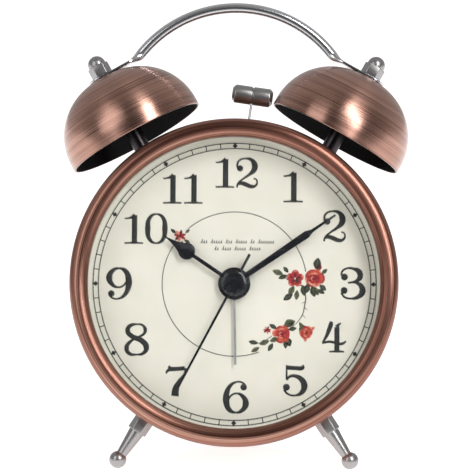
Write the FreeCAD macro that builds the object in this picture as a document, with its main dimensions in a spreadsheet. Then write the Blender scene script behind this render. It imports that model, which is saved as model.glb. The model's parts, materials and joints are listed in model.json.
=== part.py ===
import FreeCAD, Part
import math
import os
import re
import Sketcher

# A wind-up-style twin-bell alarm clock with a battery movement. Every sub-part is modelled in the
# clock's own frame: x to the right, y from the bezel's front towards the back, z up, with the dial's
# axis on y. At the end the whole clock leans back until it rests on its two ball feet and on the
# rear bottom edge of the drum.
#
# Turned pieces are outlines of (radius, depth) spun about their own y axis. Flat pieces are outlines
# of (x, z) that stand from one depth to another.

SIZES = {
    # case
    "drum_r": 57.5, "drum_wall": 1.0, "drum_front": 5.3, "drum_back": 54.0,
    "bezel_r": 58.5, "bezel_lip_r": 52.0, "bezel_shoulder": 2.4, "bezel_lip": 2.7,
    "bezel_arc_r": 3.33, "bezel_back": 7.2, "bezel_seat": 5.2, "bezel_fit": 0.1,
    "lens_r": 56.2, "lens_front": 5.4, "lens_back": 6.9,
    "rehaut_r": 56.2, "rehaut_front": 7.0, "rehaut_front_r": 53.2, "rehaut_dial_r": 52.4,
    "dial_r": 56.2, "dial_front": 13.0, "dial_back": 13.6,
    "seat_r": 56.3, "seat_inner_r": 51.5, "seat_back": 15.3,
    # rear cover and what is on it
    "cover_r": 56.9, "cover_front": 54.1, "cover_back": 55.6,
    "lug_place_r": 52.4, "lug_width": 7.0, "lug_tall": 7.8, "lug_front": 48.0, "lug_back": 54.0,
    "screw_r": 1.2, "screw_hole_r": 1.35, "screw_tip": 49.0, "screw_head_r": 2.6, "screw_head": 1.4,
    "knob_hole_r": 1.6, "knob_r": 5.6, "knob_grip_r": 5.2, "knob_front": 56.4, "knob_back": 62.0,
    "knob_shaft_r": 1.1, "knob_arbor_r": 0.7, "knob_step": 28.5, "knob_flutes": 16,
    "switch_x": 22.0, "switch_z": -12.0, "switch_wide": 5.0, "switch_tall": 5.6,
    "switch_travel": 6.0, "switch_front": 52.4, "switch_back": 58.0, "switch_neck": 1.5,
    "switch_flange": 1.2, "switch_gap": 0.3,
    # battery
    "box_wide": 60.0, "box_tall": 18.0, "box_z": -35.0, "box_front": 36.8, "box_back": 54.0,
    "box_wall": 1.2, "cell_r": 7.2, "cell_long": 50.0, "cell_y": 45.6, "cell_tip_r": 2.7,
    "cell_tip": 1.0, "door_wide": 57.0, "door_tall": 17.0, "door_front": 55.7, "door_back": 56.9,
    "window_wide": 54.0, "window_tall": 14.8, "grip_pitch": 1.8, "spring_r": 4.5, "spring_end_r": 2.6,
    "contact_r": 5.0, "contact_end_r": 2.0,
    # bells, posts, handle
    "bell_tilt": 29.0, "bell_x": 36.0, "bell_z": 53.9, "bell_y": 25.0, "bell_r": 25.8,
    "bell_skirt": 2.5, "bell_dome_r": 22.5, "bell_wall": 0.9, "bell_bore_r": 2.05,
    "post_r": 3.0, "post_base": 57.6, "post_thread_r": 1.95, "post_inside": 51.5,
    "post_hole_r": 2.05, "locknut_r": 3.3, "locknut_thick": 2.2,
    "capnut_r": 4.0, "capnut_hex": 4.2, "capnut_dome_r": 3.25, "capnut_tall": 7.9, "capnut_bore": 5.0,
    "handle_arc_r": 44.0, "handle_apex": 101.7, "handle_bar_r": 1.9, "handle_half_turn": 52.0,
    "plate_thick": 1.0, "plate_wide": 8.4, "plate_inner": 10.4, "plate_outer": 6.0,
    # feet
    "foot_angle": 33.5, "foot_y": 18.8, "foot_ball_r": 3.1, "foot_ball_place": 75.35,
    "foot_hex_r": 3.65, "foot_hex_end": 63.4, "foot_cone_r": 2.8, "foot_neck_r": 1.9,
    "foot_base": 57.6, "foot_thread_r": 1.95, "foot_inside": 52.4,
    # hammer and its drive
    "pivot_z": 28.0, "hammer_lean": 8.2, "hammer_reach": 41.9, "head_r": 3.35, "head_long": 14.8,
    "head_chamfer": 1.1, "groove_r": 3.1, "groove_half": 0.25, "rod_r": 0.4, 
    "lever_front": 24.4, "lever_back": 25.6, "lever_half": 2.6, "lever_hub_r": 3.2,
    "lever_end": 17.0, "lever_slot_half": 0.9, "lever_slot_low": 8.8, "lever_slot_high": 15.0,
    "pivot_r": 1.0, "pivot_front": 23.0, "pivot_clip_r": 2.0, "pivot_clip": 0.8,
    "slot_half": 6.6, "slot_half_deep": 1.5,
    "bracket_front": 36.4, "bracket_back": 37.4, "bracket_half": 17.0, "bracket_low": 6.0,
    "bracket_high": 47.0, "bracket_screw_x": 13.0, "bracket_screw_z": 11.0,
    "crank_z": 40.0, "crank_front": 29.0, "crank_back": 30.4, "crank_pin_r": 0.6,
    "crank_throw": 1.8, "crank_pin_front": 26.0, "crank_hub_r": 2.6, "crank_stud_r": 0.9,
    "motor_r": 6.0, "motor_long": 13.5, "motor_shaft_r": 0.6, "drive_module": 0.4,
    # movement
    "move_half": 24.0, "move_top": 17.0, "move_low": -27.0, "move_front": 14.2, "move_split": 20.0,
    "move_back": 36.2, "move_wall": 1.2, "bush_r": 3.4, "bush_bore_r": 2.1, "dial_nut_r": 4.6,
    "dial_nut_front": 12.0, "bush_front": 11.9, "pivot_hole_r": 0.45, "pin_r": 0.4,
    "magnet_r": 2.5, "board_x": -12.0, "board_z": -16.0, "board_wide": 18.0, "board_tall": 16.0,
    "crystal_r": 1.5, "crystal_long": 8.0, "crystal_z": -18.0,
    "stator_left": 8.0, "stator_right": 22.4, "stator_low": -1.5, "stator_high": 14.5,
    "stator_bore_r": 3.0, "stator_window_wide": 11.0, "stator_window_tall": 3.4,
    "stator_window_x": 15.1, "stator_window_z": 7.9, "coil_z": 12.05, "coil_long": 9.6,
    "coil_wide": 6.5, "coil_core_low": 9.5, "coil_core_high": 14.6,
    # hands
    "second_r": 0.4, "minute_bore_r": 0.45, "minute_r": 0.95, "hour_bore_r": 1.0, "hour_r": 1.5,
    "alarm_bore_r": 1.55, "alarm_r": 2.05, "hub_r": 5.8, "cap_r": 4.7, "hand_thick": 0.35,
    "alarm_hand_y": 11.2, "hour_hand_y": 10.5, "minute_hand_y": 9.8, "second_hand_y": 9.1,
    "cap_front": 8.1, "hour_angle": 304.0, "minute_angle": 55.7, "second_angle": 208.0,
    "alarm_angle": 179.0,
    "spade_z": 20.6, "spade_r": 3.05, "spade_stem": 0.72, "spade_shoulder_x": 1.96,
    "spade_shoulder_z": 22.94, "spade_flank_r": 14.0, "spade_point": 30.5, "spade_point_half": 0.22,
    "minute_half": 0.95, "minute_swell": 1.35, "minute_swell_z": 31.3, "minute_neck": 0.56,
    "minute_neck_z": 33.6, "minute_point": 43.7, "minute_point_half": 0.38,
    "second_half": 0.42, "second_tail": 11.8, "second_point": 42.0, "second_point_half": 0.36,
    "alarm_half": 0.45, "alarm_point": 29.0, "alarm_point_half": 0.42, "alarm_hub_r": 3.2,
}

# Depths between which each layer of wheels turns.
LAYERS = {
    "alarm": (15.7, 16.5), "hour": (17.0, 17.7), "motion": (18.3, 19.0), "centre": (19.7, 20.4),
    "third": (21.0, 21.6), "second": (22.3, 22.9), "fast": (23.5, 24.1), "magnet": (24.7, 26.4),
    "stator": (25.0, 26.0), "coil": (24.3, 26.7), "bridge": (26.8, 27.6), "board": (28.6, 29.8),
}

# Tooth counts of the wheels and pinions that turn each other.
TEETH = {
    "second_wheel": 60, "second_pinion": 8, "third_wheel": 60, "third_pinion": 8,
    "centre_wheel": 64, "cannon_pinion": 12, "motion_wheel": 36, "motion_pinion": 10,
    "hour_wheel": 40, "alarm_wheel": 36, "knob_pinion": 12, "fast_wheel": 32, "fast_pinion": 8,
    "rotor_pinion": 8, "crank_wheel": 36, "motor_pinion": 9,
}

doc = FreeCAD.newDocument("TwinBellClock")
sheet = doc.addObject("Spreadsheet::Sheet", "Sizes")
for row, (alias, value) in enumerate(SIZES.items(), start=1):
    sheet.set(f"A{row}", alias)
    sheet.set(f"B{row}", str(value))
    sheet.setAlias(f"B{row}", alias)
doc.recompute()

PARTS = {}


def bound(text):
    """A formula of size names, as the spreadsheet's own expression."""
    def name(word):
        return f"Sizes.{word.group()}" if word.group() in SIZES else word.group()
    return re.sub(r"[a-z][a-z_0-9]*", name, str(text))


def size(text):
    """The number that a formula of size names gives now."""
    value = sheet.evalExpression(bound(text))
    return float(getattr(value, "Value", value))


def start_body(label):
    """An empty body that will hold one sub-part."""
    body = doc.addObject("PartDesign::Body", label)
    body.Label = label
    PARTS[label] = body
    return body


def sketch_on(body, role, lift="0", tilt="0"):
    """A sketch on one of the body's own planes, lifted along its normal or tilted about its y."""
    sketch = body.newObject("Sketcher::SketchObject", f"{body.Name}Sketch")
    plane = next(item for item in body.Origin.OriginFeatures if item.Role == role)
    sketch.AttachmentSupport = [(plane, "")]
    sketch.MapMode = "FlatFace"
    turn = FreeCAD.Rotation(FreeCAD.Vector(0, 1, 0), size(tilt))
    sketch.AttachmentOffset = FreeCAD.Placement(FreeCAD.Vector(0, 0, size(lift)), turn)
    if lift != "0":
        sketch.setExpression("AttachmentOffset.Base.z", bound(lift))
    if tilt != "0":
        sketch.setExpression("AttachmentOffset.Rotation.Angle", bound(tilt))
    return sketch


def pin_point(sketch, edge, end, x, y):
    """Holds one end of an edge, or a circle's centre, at (x, y)."""
    for kind, axis, text in (("DistanceX", -2, x), ("DistanceY", -1, y)):
        if str(text) == "0":
            sketch.addConstraint(Sketcher.Constraint("PointOnObject", edge, end, axis))
            continue
        index = sketch.addConstraint(Sketcher.Constraint(kind, -1, 1, edge, end, size(text)))
        sketch.setExpression(f"Constraints[{index}]", bound(text))


def draw_outline(sketch, corners):
    """A closed outline through corners. A corner of (x, y, radius, side) is reached by an arc whose
    centre lies to the left (1) or the right (-1) of the straight way there."""
    spots = [FreeCAD.Vector(size(c[0]), size(c[1]), 0) for c in corners]
    ends = []
    for number, corner in enumerate(corners):
        here, there = spots[number - 1], spots[number]
        if len(corner) == 2:
            edge = sketch.addGeometry(Part.LineSegment(here, there))
        else:
            radius = size(corner[2])
            chord = there - here
            left = FreeCAD.Vector(-chord.y, chord.x, 0).normalize() * corner[3]
            rise = math.sqrt(max(radius ** 2 - (chord.Length / 2) ** 2, 0))
            centre = (here + there) * 0.5 + left * rise
            edge = sketch.addGeometry(Part.Arc(here, centre - left * radius, there))
        flipped = sketch.getPoint(edge, 1).distanceToPoint(here) > 1e-6
        ends.append((edge, (2, 1) if flipped else (1, 2)))
        if len(corner) > 2:
            index = sketch.addConstraint(Sketcher.Constraint("Radius", edge, size(corner[2])))
            sketch.setExpression(f"Constraints[{index}]", bound(corner[2]))
    for number, corner in enumerate(corners):
        edge, (_, last) = ends[number]
        after, (first, _) = ends[(number + 1) % len(corners)]
        sketch.addConstraint(Sketcher.Constraint("Coincident", edge, last, after, first))
        pin_point(sketch, edge, last, corner[0], corner[1])


def draw_circles(sketch, circles):
    """Circles of (x, y, radius)."""
    for x, y, radius in circles:
        middle = FreeCAD.Vector(size(x), size(y), 0)
        edge = sketch.addGeometry(Part.Circle(middle, FreeCAD.Vector(0, 0, 1), size(radius)))
        pin_point(sketch, edge, 3, x, y)
        index = sketch.addConstraint(Sketcher.Constraint("Radius", edge, size(radius)))
        sketch.setExpression(f"Constraints[{index}]", bound(radius))


def rectangle(x, y, wide, tall):
    """The corners of a rectangle about (x, y)."""
    left, right = f"{x} - ({wide}) / 2", f"{x} + ({wide}) / 2"
    low, high = f"{y} - ({tall}) / 2", f"{y} + ({tall}) / 2"
    return [(left, low), (right, low), (right, high), (left, high)]


def polygon(sides, radius):
    """The corners of a regular polygon about the origin, with a flat at the top."""
    turn = [180 / sides + 360 * k / sides for k in range(sides)]
    return [(f"({radius}) * sin({a})", f"({radius}) * cos({a})") for a in turn]


def turn_about_axis(body, corners):
    """Spins an outline of (radius, depth) about the body's y axis."""
    sketch = sketch_on(body, "XY_Plane")
    draw_outline(sketch, corners)
    feature = body.newObject("PartDesign::Revolution", f"{body.Name}Turn")
    feature.Profile = sketch
    feature.ReferenceAxis = (sketch, ["V_Axis"])
    feature.Angle = 360
    return feature


def stand(body, start, end, corners=None, circles=()):
    """A solid of outline (x, z) from one depth to another."""
    sketch = sketch_on(body, "XZ_Plane", lift=f"-({start})")
    if corners:
        draw_outline(sketch, corners)
    draw_circles(sketch, circles)
    feature = body.newObject("PartDesign::Pad", f"{body.Name}Pad")
    feature.Profile = sketch
    feature.Reversed = True
    feature.setExpression("Length", bound(f"({end}) - ({start})"))
    return feature


def cut(body, start, end, corners=None, circles=()):
    """A hole of outline (x, z) from one depth to another."""
    sketch = sketch_on(body, "XZ_Plane", lift=f"-({start})")
    if corners:
        draw_outline(sketch, corners)
    draw_circles(sketch, circles)
    return pocket(body, sketch, f"({end}) - ({start})")


def pocket(body, sketch, depth, towards_normal=False):
    """Cuts a sketch into the body: away from its normal, which is backwards on the XZ plane, or
    along it."""
    doc.recompute()
    before = body.Shape.Volume
    feature = body.newObject("PartDesign::Pocket", f"{body.Name}Cut")
    feature.Profile = sketch
    feature.Reversed = towards_normal
    feature.setExpression("Length", bound(depth))
    doc.recompute()
    if body.Shape.isNull() or body.Shape.Volume > before - 1e-6:
        raise RuntimeError(f"{body.Label}: a pocket cuts nothing")
    return feature


def cut_radial(body, tilt, reach, corners=None, circles=()):
    """A hole through the drum's wall, seen from the dial's axis in a direction tilted from up."""
    sketch = sketch_on(body, "XY_Plane", tilt=tilt)
    if corners:
        draw_outline(sketch, corners)
    draw_circles(sketch, circles)
    return pocket(body, sketch, reach, towards_normal=True)


def repeat(body, feature, count):
    """The same feature again around the body's y axis."""
    axis = next(item for item in body.Origin.OriginFeatures if item.Role == "Y_Axis")
    pattern = body.newObject("PartDesign::PolarPattern", f"{body.Name}Pattern")
    pattern.Originals = [feature]
    pattern.Axis = (axis, [""])
    pattern.Angle = 360
    pattern.Occurrences = count
    body.Tip = pattern
    return pattern


def add_teeth(body, count, module, start, end):
    """Short straight-sided teeth around a turned rim, with plenty of backlash."""
    pitch_r = f"{count} * {module} / 2"
    base, tip = f"({pitch_r}) - 1.3 * {module}", f"({pitch_r}) + 0.8 * {module}"
    wide, narrow = f"0.68 * {module}", f"0.3 * {module}"
    tooth = stand(body, start, end, corners=[
        (f"-{wide}", base), (wide, base), (narrow, tip), (f"-{narrow}", tip)])
    return repeat(body, tooth, count)


def rim(count, module):
    """The radius of a wheel at the foot of its teeth."""
    return f"({count} * {module} / 2 - 1.05 * {module})"


def set_down(label, x="0", y="0", z="0", along=(0, 1, 0), spin=0.0):
    """Puts a finished body in the clock's frame: its y axis along a direction, turned about it."""
    place = FreeCAD.Vector(size(x), size(y), size(z))
    turn = FreeCAD.Rotation(FreeCAD.Vector(0, 1, 0), FreeCAD.Vector(*along))
    turn = turn.multiply(FreeCAD.Rotation(FreeCAD.Vector(0, 1, 0), spin))
    PARTS[label].Placement = FreeCAD.Placement(place, turn)


def tilted(degrees):
    """The direction that leans this far from up, to the right."""
    return (math.sin(math.radians(degrees)), 0, math.cos(math.radians(degrees)))


# The posts and bells stand on lines that pass beside the dial's axis. A line's zero is its nearest
# point to that axis, and the bell's mouth plane is this far along it.
BELL_REACH = "(bell_x * sin(bell_tilt) + bell_z * cos(bell_tilt))"
BELL_ASIDE = "(bell_x * cos(bell_tilt) - bell_z * sin(bell_tilt))"
BELL_CROWN = f"({BELL_REACH} + bell_skirt + bell_dome_r)"
SIDES = (("left", -1), ("right", 1))


def set_on_bell_line(label, side, along_line):
    """Puts a turned piece on one bell's line, this far from the line's zero."""
    turn = size("bell_tilt") * side
    x = f"{side} * ({BELL_ASIDE} * cos(bell_tilt) + ({along_line}) * sin(bell_tilt))"
    z = f"({along_line}) * cos(bell_tilt) - {BELL_ASIDE} * sin(bell_tilt)"
    set_down(label, x, "bell_y", z, along=tilted(turn))


# ---- Case ----

def case_drum():
    """The drum: a drawn steel tube with holes for posts and feet and a slot for the hammer's rod."""
    body = start_body("case_drum")
    turn_about_axis(body, [("drum_r", "drum_front"), ("drum_r", "drum_back"),
                           ("drum_r - drum_wall", "drum_back"), ("drum_r - drum_wall", "drum_front")])
    for _, side in SIDES:
        cut_radial(body, f"bell_tilt * {side}", "drum_r + drum_wall",
                   circles=[(f"{side} * {BELL_ASIDE}", "bell_y", "post_hole_r")])
        cut_radial(body, f"(180 - foot_angle) * {side}", "drum_r + drum_wall",
                   circles=[("0", "foot_y", "post_hole_r")])
    cut_radial(body, "0", "drum_r + drum_wall",
               corners=rectangle("0", "bell_y", "2 * slot_half", "2 * slot_half_deep"))
    set_down("case_drum")


def front_bezel():
    """The bezel: a rounded pressed ring whose skirt is pushed over the drum's front edge."""
    body = start_body("front_bezel")
    turn_about_axis(body, [
        ("bezel_lip_r", "bezel_seat"), ("bezel_lip_r", "bezel_lip"),
        ("bezel_r", "bezel_shoulder", "bezel_arc_r", 1), ("bezel_r", "bezel_back"),
        ("drum_r + bezel_fit", "bezel_back"), ("drum_r + bezel_fit", "bezel_seat")])
    set_down("front_bezel")


def turned_ring(label, inner_front, inner_back, outer, front, back):
    """A flat ring about the dial's axis, with a straight or a conical inner edge."""
    body = start_body(label)
    turn_about_axis(body, [(inner_front, front), (inner_back, back), (outer, back), (outer, front)])
    set_down(label)
    return body


def disc(label, outer, front, back):
    """A flat disc about the dial's axis."""
    body = start_body(label)
    stand(body, front, back, circles=[("0", "0", outer)])
    set_down(label)
    return body


def dial_parts():
    """Glass, inner reflector ring, printed dial and the plastic ring that the dial lies on."""
    disc("lens", "lens_r", "lens_front", "lens_back")
    turned_ring("dial_reflector", "rehaut_front_r", "rehaut_dial_r", "rehaut_r", "rehaut_front",
                "dial_front - 0.1")
    dial = disc("dial_plate", "dial_r", "dial_front", "dial_back")
    cut(dial, "dial_front", "dial_back", circles=[("0", "0", "bush_r + 0.1")])
    turned_ring("dial_seat_ring", "seat_inner_r", "seat_inner_r", "seat_r", "dial_back + 0.1",
                "seat_back")


# ---- Rear cover ----

def lug_places():
    """The three places of the rear cover's lugs and screws."""
    turns = (0, 120, 240)
    return [(f"lug_place_r * sin({a})", f"lug_place_r * cos({a})") for a in turns]


def rear_cover():
    """The moulded rear cover, with its screw holes, knob holes, switch slot and battery window."""
    body = disc("rear_cover", "cover_r", "cover_front", "cover_back")
    holes = [(x, z, "screw_hole_r") for x, z in lug_places()]
    holes += [(x, z, "knob_hole_r") for x, z in (KNOBS["time"], KNOBS["alarm"])]
    cut(body, "cover_front", "cover_back", circles=holes)
    cut(body, "cover_front", "cover_back",
        corners=rectangle("0", "box_z", "window_wide", "window_tall"))
    cut(body, "cover_front", "cover_back",
        corners=rectangle("switch_x", "switch_z + switch_travel / 2", "2 * switch_neck + 0.6",
                          "2 * switch_neck + switch_travel + 0.6"))


def cover_lugs():
    """Three blocks spot-welded inside the drum, which the rear cover's screws hold."""
    body = start_body("cover_lugs")
    block = stand(body, "lug_front", "lug_back",
                  corners=rectangle("0", "lug_place_r", "lug_width", "lug_tall"))
    repeat(body, block, 3)
    cut(body, "lug_front", "lug_back",
        circles=[(x, z, "screw_r + 0.05") for x, z in lug_places()])
    set_down("cover_lugs")


def cover_screws():
    """Three pan-head screws through the rear cover."""
    body = start_body("cover_screws")
    stand(body, "screw_tip", "cover_back", circles=[(x, z, "screw_r") for x, z in lug_places()])
    stand(body, "cover_back", "cover_back + screw_head",
          circles=[(x, z, "screw_head_r") for x, z in lug_places()])
    set_down("cover_screws")


def knob(label, x, z):
    """A fluted plastic knob pushed on its arbor's rear end."""
    body = start_body(label)
    turn_about_axis(body, [
        ("0", "knob_front"), ("knob_r", "knob_front"), ("knob_r", "knob_front + 1.2"),
        ("knob_grip_r", "knob_front + 1.6"), ("knob_grip_r", "knob_back - 0.6"),
        ("knob_grip_r - 0.6", "knob_back"), ("0", "knob_back")])
    cut(body, "knob_front", "knob_back - 1.95", circles=[("0", "0", "knob_shaft_r + 0.01")])
    flute = cut(body, "knob_front + 1.6", "knob_back", circles=[("0", "knob_grip_r + 0.35", "0.7")])
    repeat(body, flute, int(size("knob_flutes")))
    set_down(label, x, "0", z)


def knob_arbor(label, layer, x, z, spin):
    """A knob's steel arbor, with the pinion that it turns the wheels by."""
    front, back = LAYERS[layer]
    body = start_body(label)
    root = rim(TEETH["knob_pinion"], SETTING_MODULE)
    turn_about_axis(body, [
        ("0", "move_front + 0.2"), ("pin_r", "move_front + 0.2"), ("pin_r", front - 0.1),
        (root, front - 0.1), (root, back + 0.1), ("knob_arbor_r", back + 0.1),
        ("knob_arbor_r", "knob_step"), ("knob_shaft_r", "knob_step"),
        ("knob_shaft_r", "knob_back - 2"), ("0", "knob_back - 2")])
    add_teeth(body, TEETH["knob_pinion"], SETTING_MODULE, front - 0.1, back + 0.1)
    set_down(label, x, "0", z, spin=spin)


def alarm_switch():
    """The alarm's on and off slider, a neck through the cover between a thumb piece and a flange."""
    body = start_body("alarm_switch")
    pad = rectangle("0", "0", "switch_wide", "switch_tall")
    stand(body, "switch_front", "switch_front + switch_flange", corners=pad)
    stand(body, "switch_front", "switch_back",
          corners=rectangle("0", "0", "2 * switch_neck", "2 * switch_neck"))
    stand(body, "cover_back + switch_gap", "switch_back", corners=pad)
    for step in (-1, 0, 1):
        cut(body, "switch_back - 0.4", "switch_back",
            corners=rectangle("0", f"{step} * grip_pitch", "switch_wide + 1", "0.7"))
    set_down("alarm_switch", "switch_x", "0", "switch_z")


# ---- Battery ----

def battery_parts():
    """The battery box, its AA cell, the two contacts and the door."""
    box = start_body("battery_box")
    stand(box, "box_front", "box_back", corners=rectangle("0", "0", "box_wide", "box_tall"))
    cut(box, "box_front + box_wall", "box_back",
        corners=rectangle("0", "0", "box_wide - 2 * box_wall", "box_tall - 2 * box_wall"))
    set_down("battery_box", "0", "0", "box_z")

    cell = start_body("battery")
    turn_about_axis(cell, [
        ("0", "-cell_long / 2"), ("cell_r - 0.4", "-cell_long / 2"), ("cell_r", "0.4 - cell_long / 2"),
        ("cell_r", "cell_long / 2 - cell_tip - 0.6"), ("cell_r - 0.6", "cell_long / 2 - cell_tip"),
        ("cell_tip_r", "cell_long / 2 - cell_tip"), ("cell_tip_r", "cell_long / 2"),
        ("0", "cell_long / 2")])
    set_down("battery", "0", "cell_y", "box_z", along=(1, 0, 0))

    reach = "box_wide / 2 - box_wall"
    spring = start_body("battery_spring")
    turn_about_axis(spring, [
        ("0", f"-({reach})"), ("spring_r", f"-({reach})"), ("spring_r", f"1 - ({reach})"),
        ("spring_end_r", "-cell_long / 2 - 0.1"), ("0", "-cell_long / 2 - 0.1")])
    set_down("battery_spring", "0", "cell_y", "box_z", along=(1, 0, 0))

    contact = start_body("battery_contact")
    turn_about_axis(contact, [
        ("0", "cell_long / 2 + 0.1"), ("contact_end_r", "cell_long / 2 + 0.1"),
        ("contact_r", f"{reach} - 1"), ("contact_r", reach), ("0", reach)])
    set_down("battery_contact", "0", "cell_y", "box_z", along=(1, 0, 0))

    door = start_body("battery_door")
    stand(door, "door_front", "door_back", corners=rectangle("0", "0", "door_wide", "door_tall"))
    for step in (-2, -1, 0, 1, 2):
        cut(door, "door_back - 0.5", "door_back",
            corners=rectangle("0", f"{step} * grip_pitch", "door_wide / 4", "0.8"))
    set_down("battery_door", "0", "0", "box_z")


# ---- Bells, posts and handle ----

def bell(label, side):
    """A spun steel bell, a thin dome with a short straight skirt and a hole in its crown."""
    body = start_body(label)
    crown = "bell_skirt + bell_dome_r"
    turn_about_axis(body, [
        ("bell_r", "0"), ("bell_r", "bell_skirt"), ("bell_r - bell_dome_r", crown, "bell_dome_r", 1),
        ("bell_bore_r", crown), ("bell_bore_r", f"{crown} - bell_wall"),
        ("bell_r - bell_dome_r", f"{crown} - bell_wall"),
        ("bell_r - bell_wall", "bell_skirt", "bell_dome_r - bell_wall", -1),
        ("bell_r - bell_wall", "0")])
    set_on_bell_line(label, side, BELL_REACH)


def bell_post(label, side):
    """A bell's post: a rod with a shoulder on the drum and one under the bell, threaded past both."""
    body = start_body(label)
    inner_crown = f"{BELL_CROWN} - bell_wall"
    top = f"{BELL_CROWN} + plate_thick + capnut_bore - 0.4"
    turn_about_axis(body, [
        ("0", "post_inside"), ("post_thread_r", "post_inside"), ("post_thread_r", "post_base"),
        ("post_r", "post_base"), ("post_r", inner_crown), ("post_thread_r", inner_crown),
        ("post_thread_r", top), ("0", top)])
    set_on_bell_line(label, side, "0")


def cap_nut(label, side):
    """A domed cap nut on a post's upper end."""
    body = start_body(label)
    stand(body, "0", "capnut_hex", corners=polygon(6, "capnut_r"))
    turn_about_axis(body, [
        ("0", "0.2"), ("capnut_dome_r", "0.2"), ("capnut_dome_r", "capnut_tall - capnut_dome_r"),
        ("0", "capnut_tall", "capnut_dome_r", 1)])
    cut(body, "0", "capnut_bore", circles=[("0", "0", "post_thread_r + 0.02")])
    set_on_bell_line(label, side, f"{BELL_CROWN} + plate_thick")


def lock_nuts():
    """The four nuts inside the drum that pull the posts and the feet tight."""
    group = doc.addObject("Part::Compound", "lock_nuts")
    names = []
    for side_name, side in SIDES:
        for kind, inside in (("post", "post_inside"), ("foot", "foot_inside")):
            name = f"{side_name}_{kind}_nut"
            body = start_body(name)
            base = f"{inside} + 0.4"
            stand(body, base, f"{base} + locknut_thick", corners=polygon(6, "locknut_r"),
                  circles=[("0", "0", "post_thread_r + 0.02")])
            if kind == "post":
                set_on_bell_line(name, side, "0")
            else:
                set_down(name, "0", "foot_y", "0", along=tilted(side * (180 - size("foot_angle"))))
            names.append(name)
    group.Links = [PARTS.pop(name) for name in names]
    group.Label = "lock_nuts"
    PARTS["lock_nuts"] = group


def handle():
    """The carrying handle: a round bar bent over the bells, its ends pressed flat and bolted under
    the cap nuts."""
    arc_z = size("handle_apex - handle_arc_r")
    middle = FreeCAD.Vector(0, size("bell_y"), arc_z)
    half_turn = size("handle_half_turn")
    across = FreeCAD.Vector(0, 1, 0)
    bar_r, arc_r = size("handle_bar_r"), size("handle_arc_r")
    start = FreeCAD.Vector(*tilted(-half_turn)) * arc_r + middle
    heading = start.sub(middle).normalize().cross(across) * -1
    end_circle = Part.Wire(Part.makeCircle(bar_r, start, heading))
    shape = Part.Face(end_circle).revolve(middle, across, 2 * half_turn)
    for _, side in SIDES:
        tilt = side * size("bell_tilt")
        up = FreeCAD.Vector(*tilted(tilt))
        outward = across.cross(up) * side
        aside = size(BELL_ASIDE) * side
        crown = across.cross(up) * aside + up * size(f"{BELL_CROWN} + plate_thick / 2") + \
            FreeCAD.Vector(0, size("bell_y"), 0)
        inner = crown - outward * size("plate_inner")
        bar_end = FreeCAD.Vector(*tilted(side * half_turn)) * arc_r + middle
        along = across.cross(FreeCAD.Vector(*tilted(side * half_turn))) * side
        round_end = Part.Wire(Part.makeCircle(bar_r, bar_end, along))
        flat = Part.Ellipse(inner + across * (size("plate_wide") / 2),
                            inner + up * (size("plate_thick") / 2 + 0.05), inner)
        shape = shape.fuse(Part.makeLoft([round_end, Part.Wire(flat.toShape())], True))
        wide, thick = size("plate_wide"), size("plate_thick")
        length = size("plate_inner + plate_outer")
        slab = Part.makeBox(length, wide, thick, FreeCAD.Vector(0, -wide / 2, -thick / 2))
        corner_edges = [edge for edge in slab.Edges
                        if edge.BoundBox.ZLength > thick / 2 and edge.CenterOfMass.x > length / 2]
        slab = slab.makeFillet(wide * 0.45, corner_edges)
        turn = FreeCAD.Rotation(outward, across * side, up, "ZXY")
        slab.Placement = FreeCAD.Placement(inner, turn)
        bore = Part.makeCylinder(size("bell_bore_r"), 4 * thick, crown - up * (2 * thick), up)
        shape = shape.fuse(slab).cut(bore)
    feature = doc.addObject("Part::Feature", "handle")
    feature.Label = "handle"
    feature.Shape = shape.removeSplitter()
    PARTS["handle"] = feature


def foot(label, side):
    """A turned foot: threaded end, six-sided collar, taper and ball."""
    body = start_body(label)
    neck = "foot_ball_place - sqrt(foot_ball_r ^ 2 - foot_neck_r ^ 2)"
    turn_about_axis(body, [
        ("0", "foot_inside"), ("foot_thread_r", "foot_inside"), ("foot_thread_r", "foot_base + 0.1"),
        ("foot_cone_r", "foot_base + 0.1"), ("foot_cone_r", "foot_hex_end + 0.3"),
        ("foot_neck_r", neck), ("0", "foot_ball_place + foot_ball_r", "foot_ball_r", 1)])
    stand(body, "foot_base", "foot_hex_end", corners=polygon(6, "foot_hex_r"))
    set_down(label, "0", "foot_y", "0", along=tilted(side * (180 - size("foot_angle"))))


# ---- Hammer and its drive ----

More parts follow.
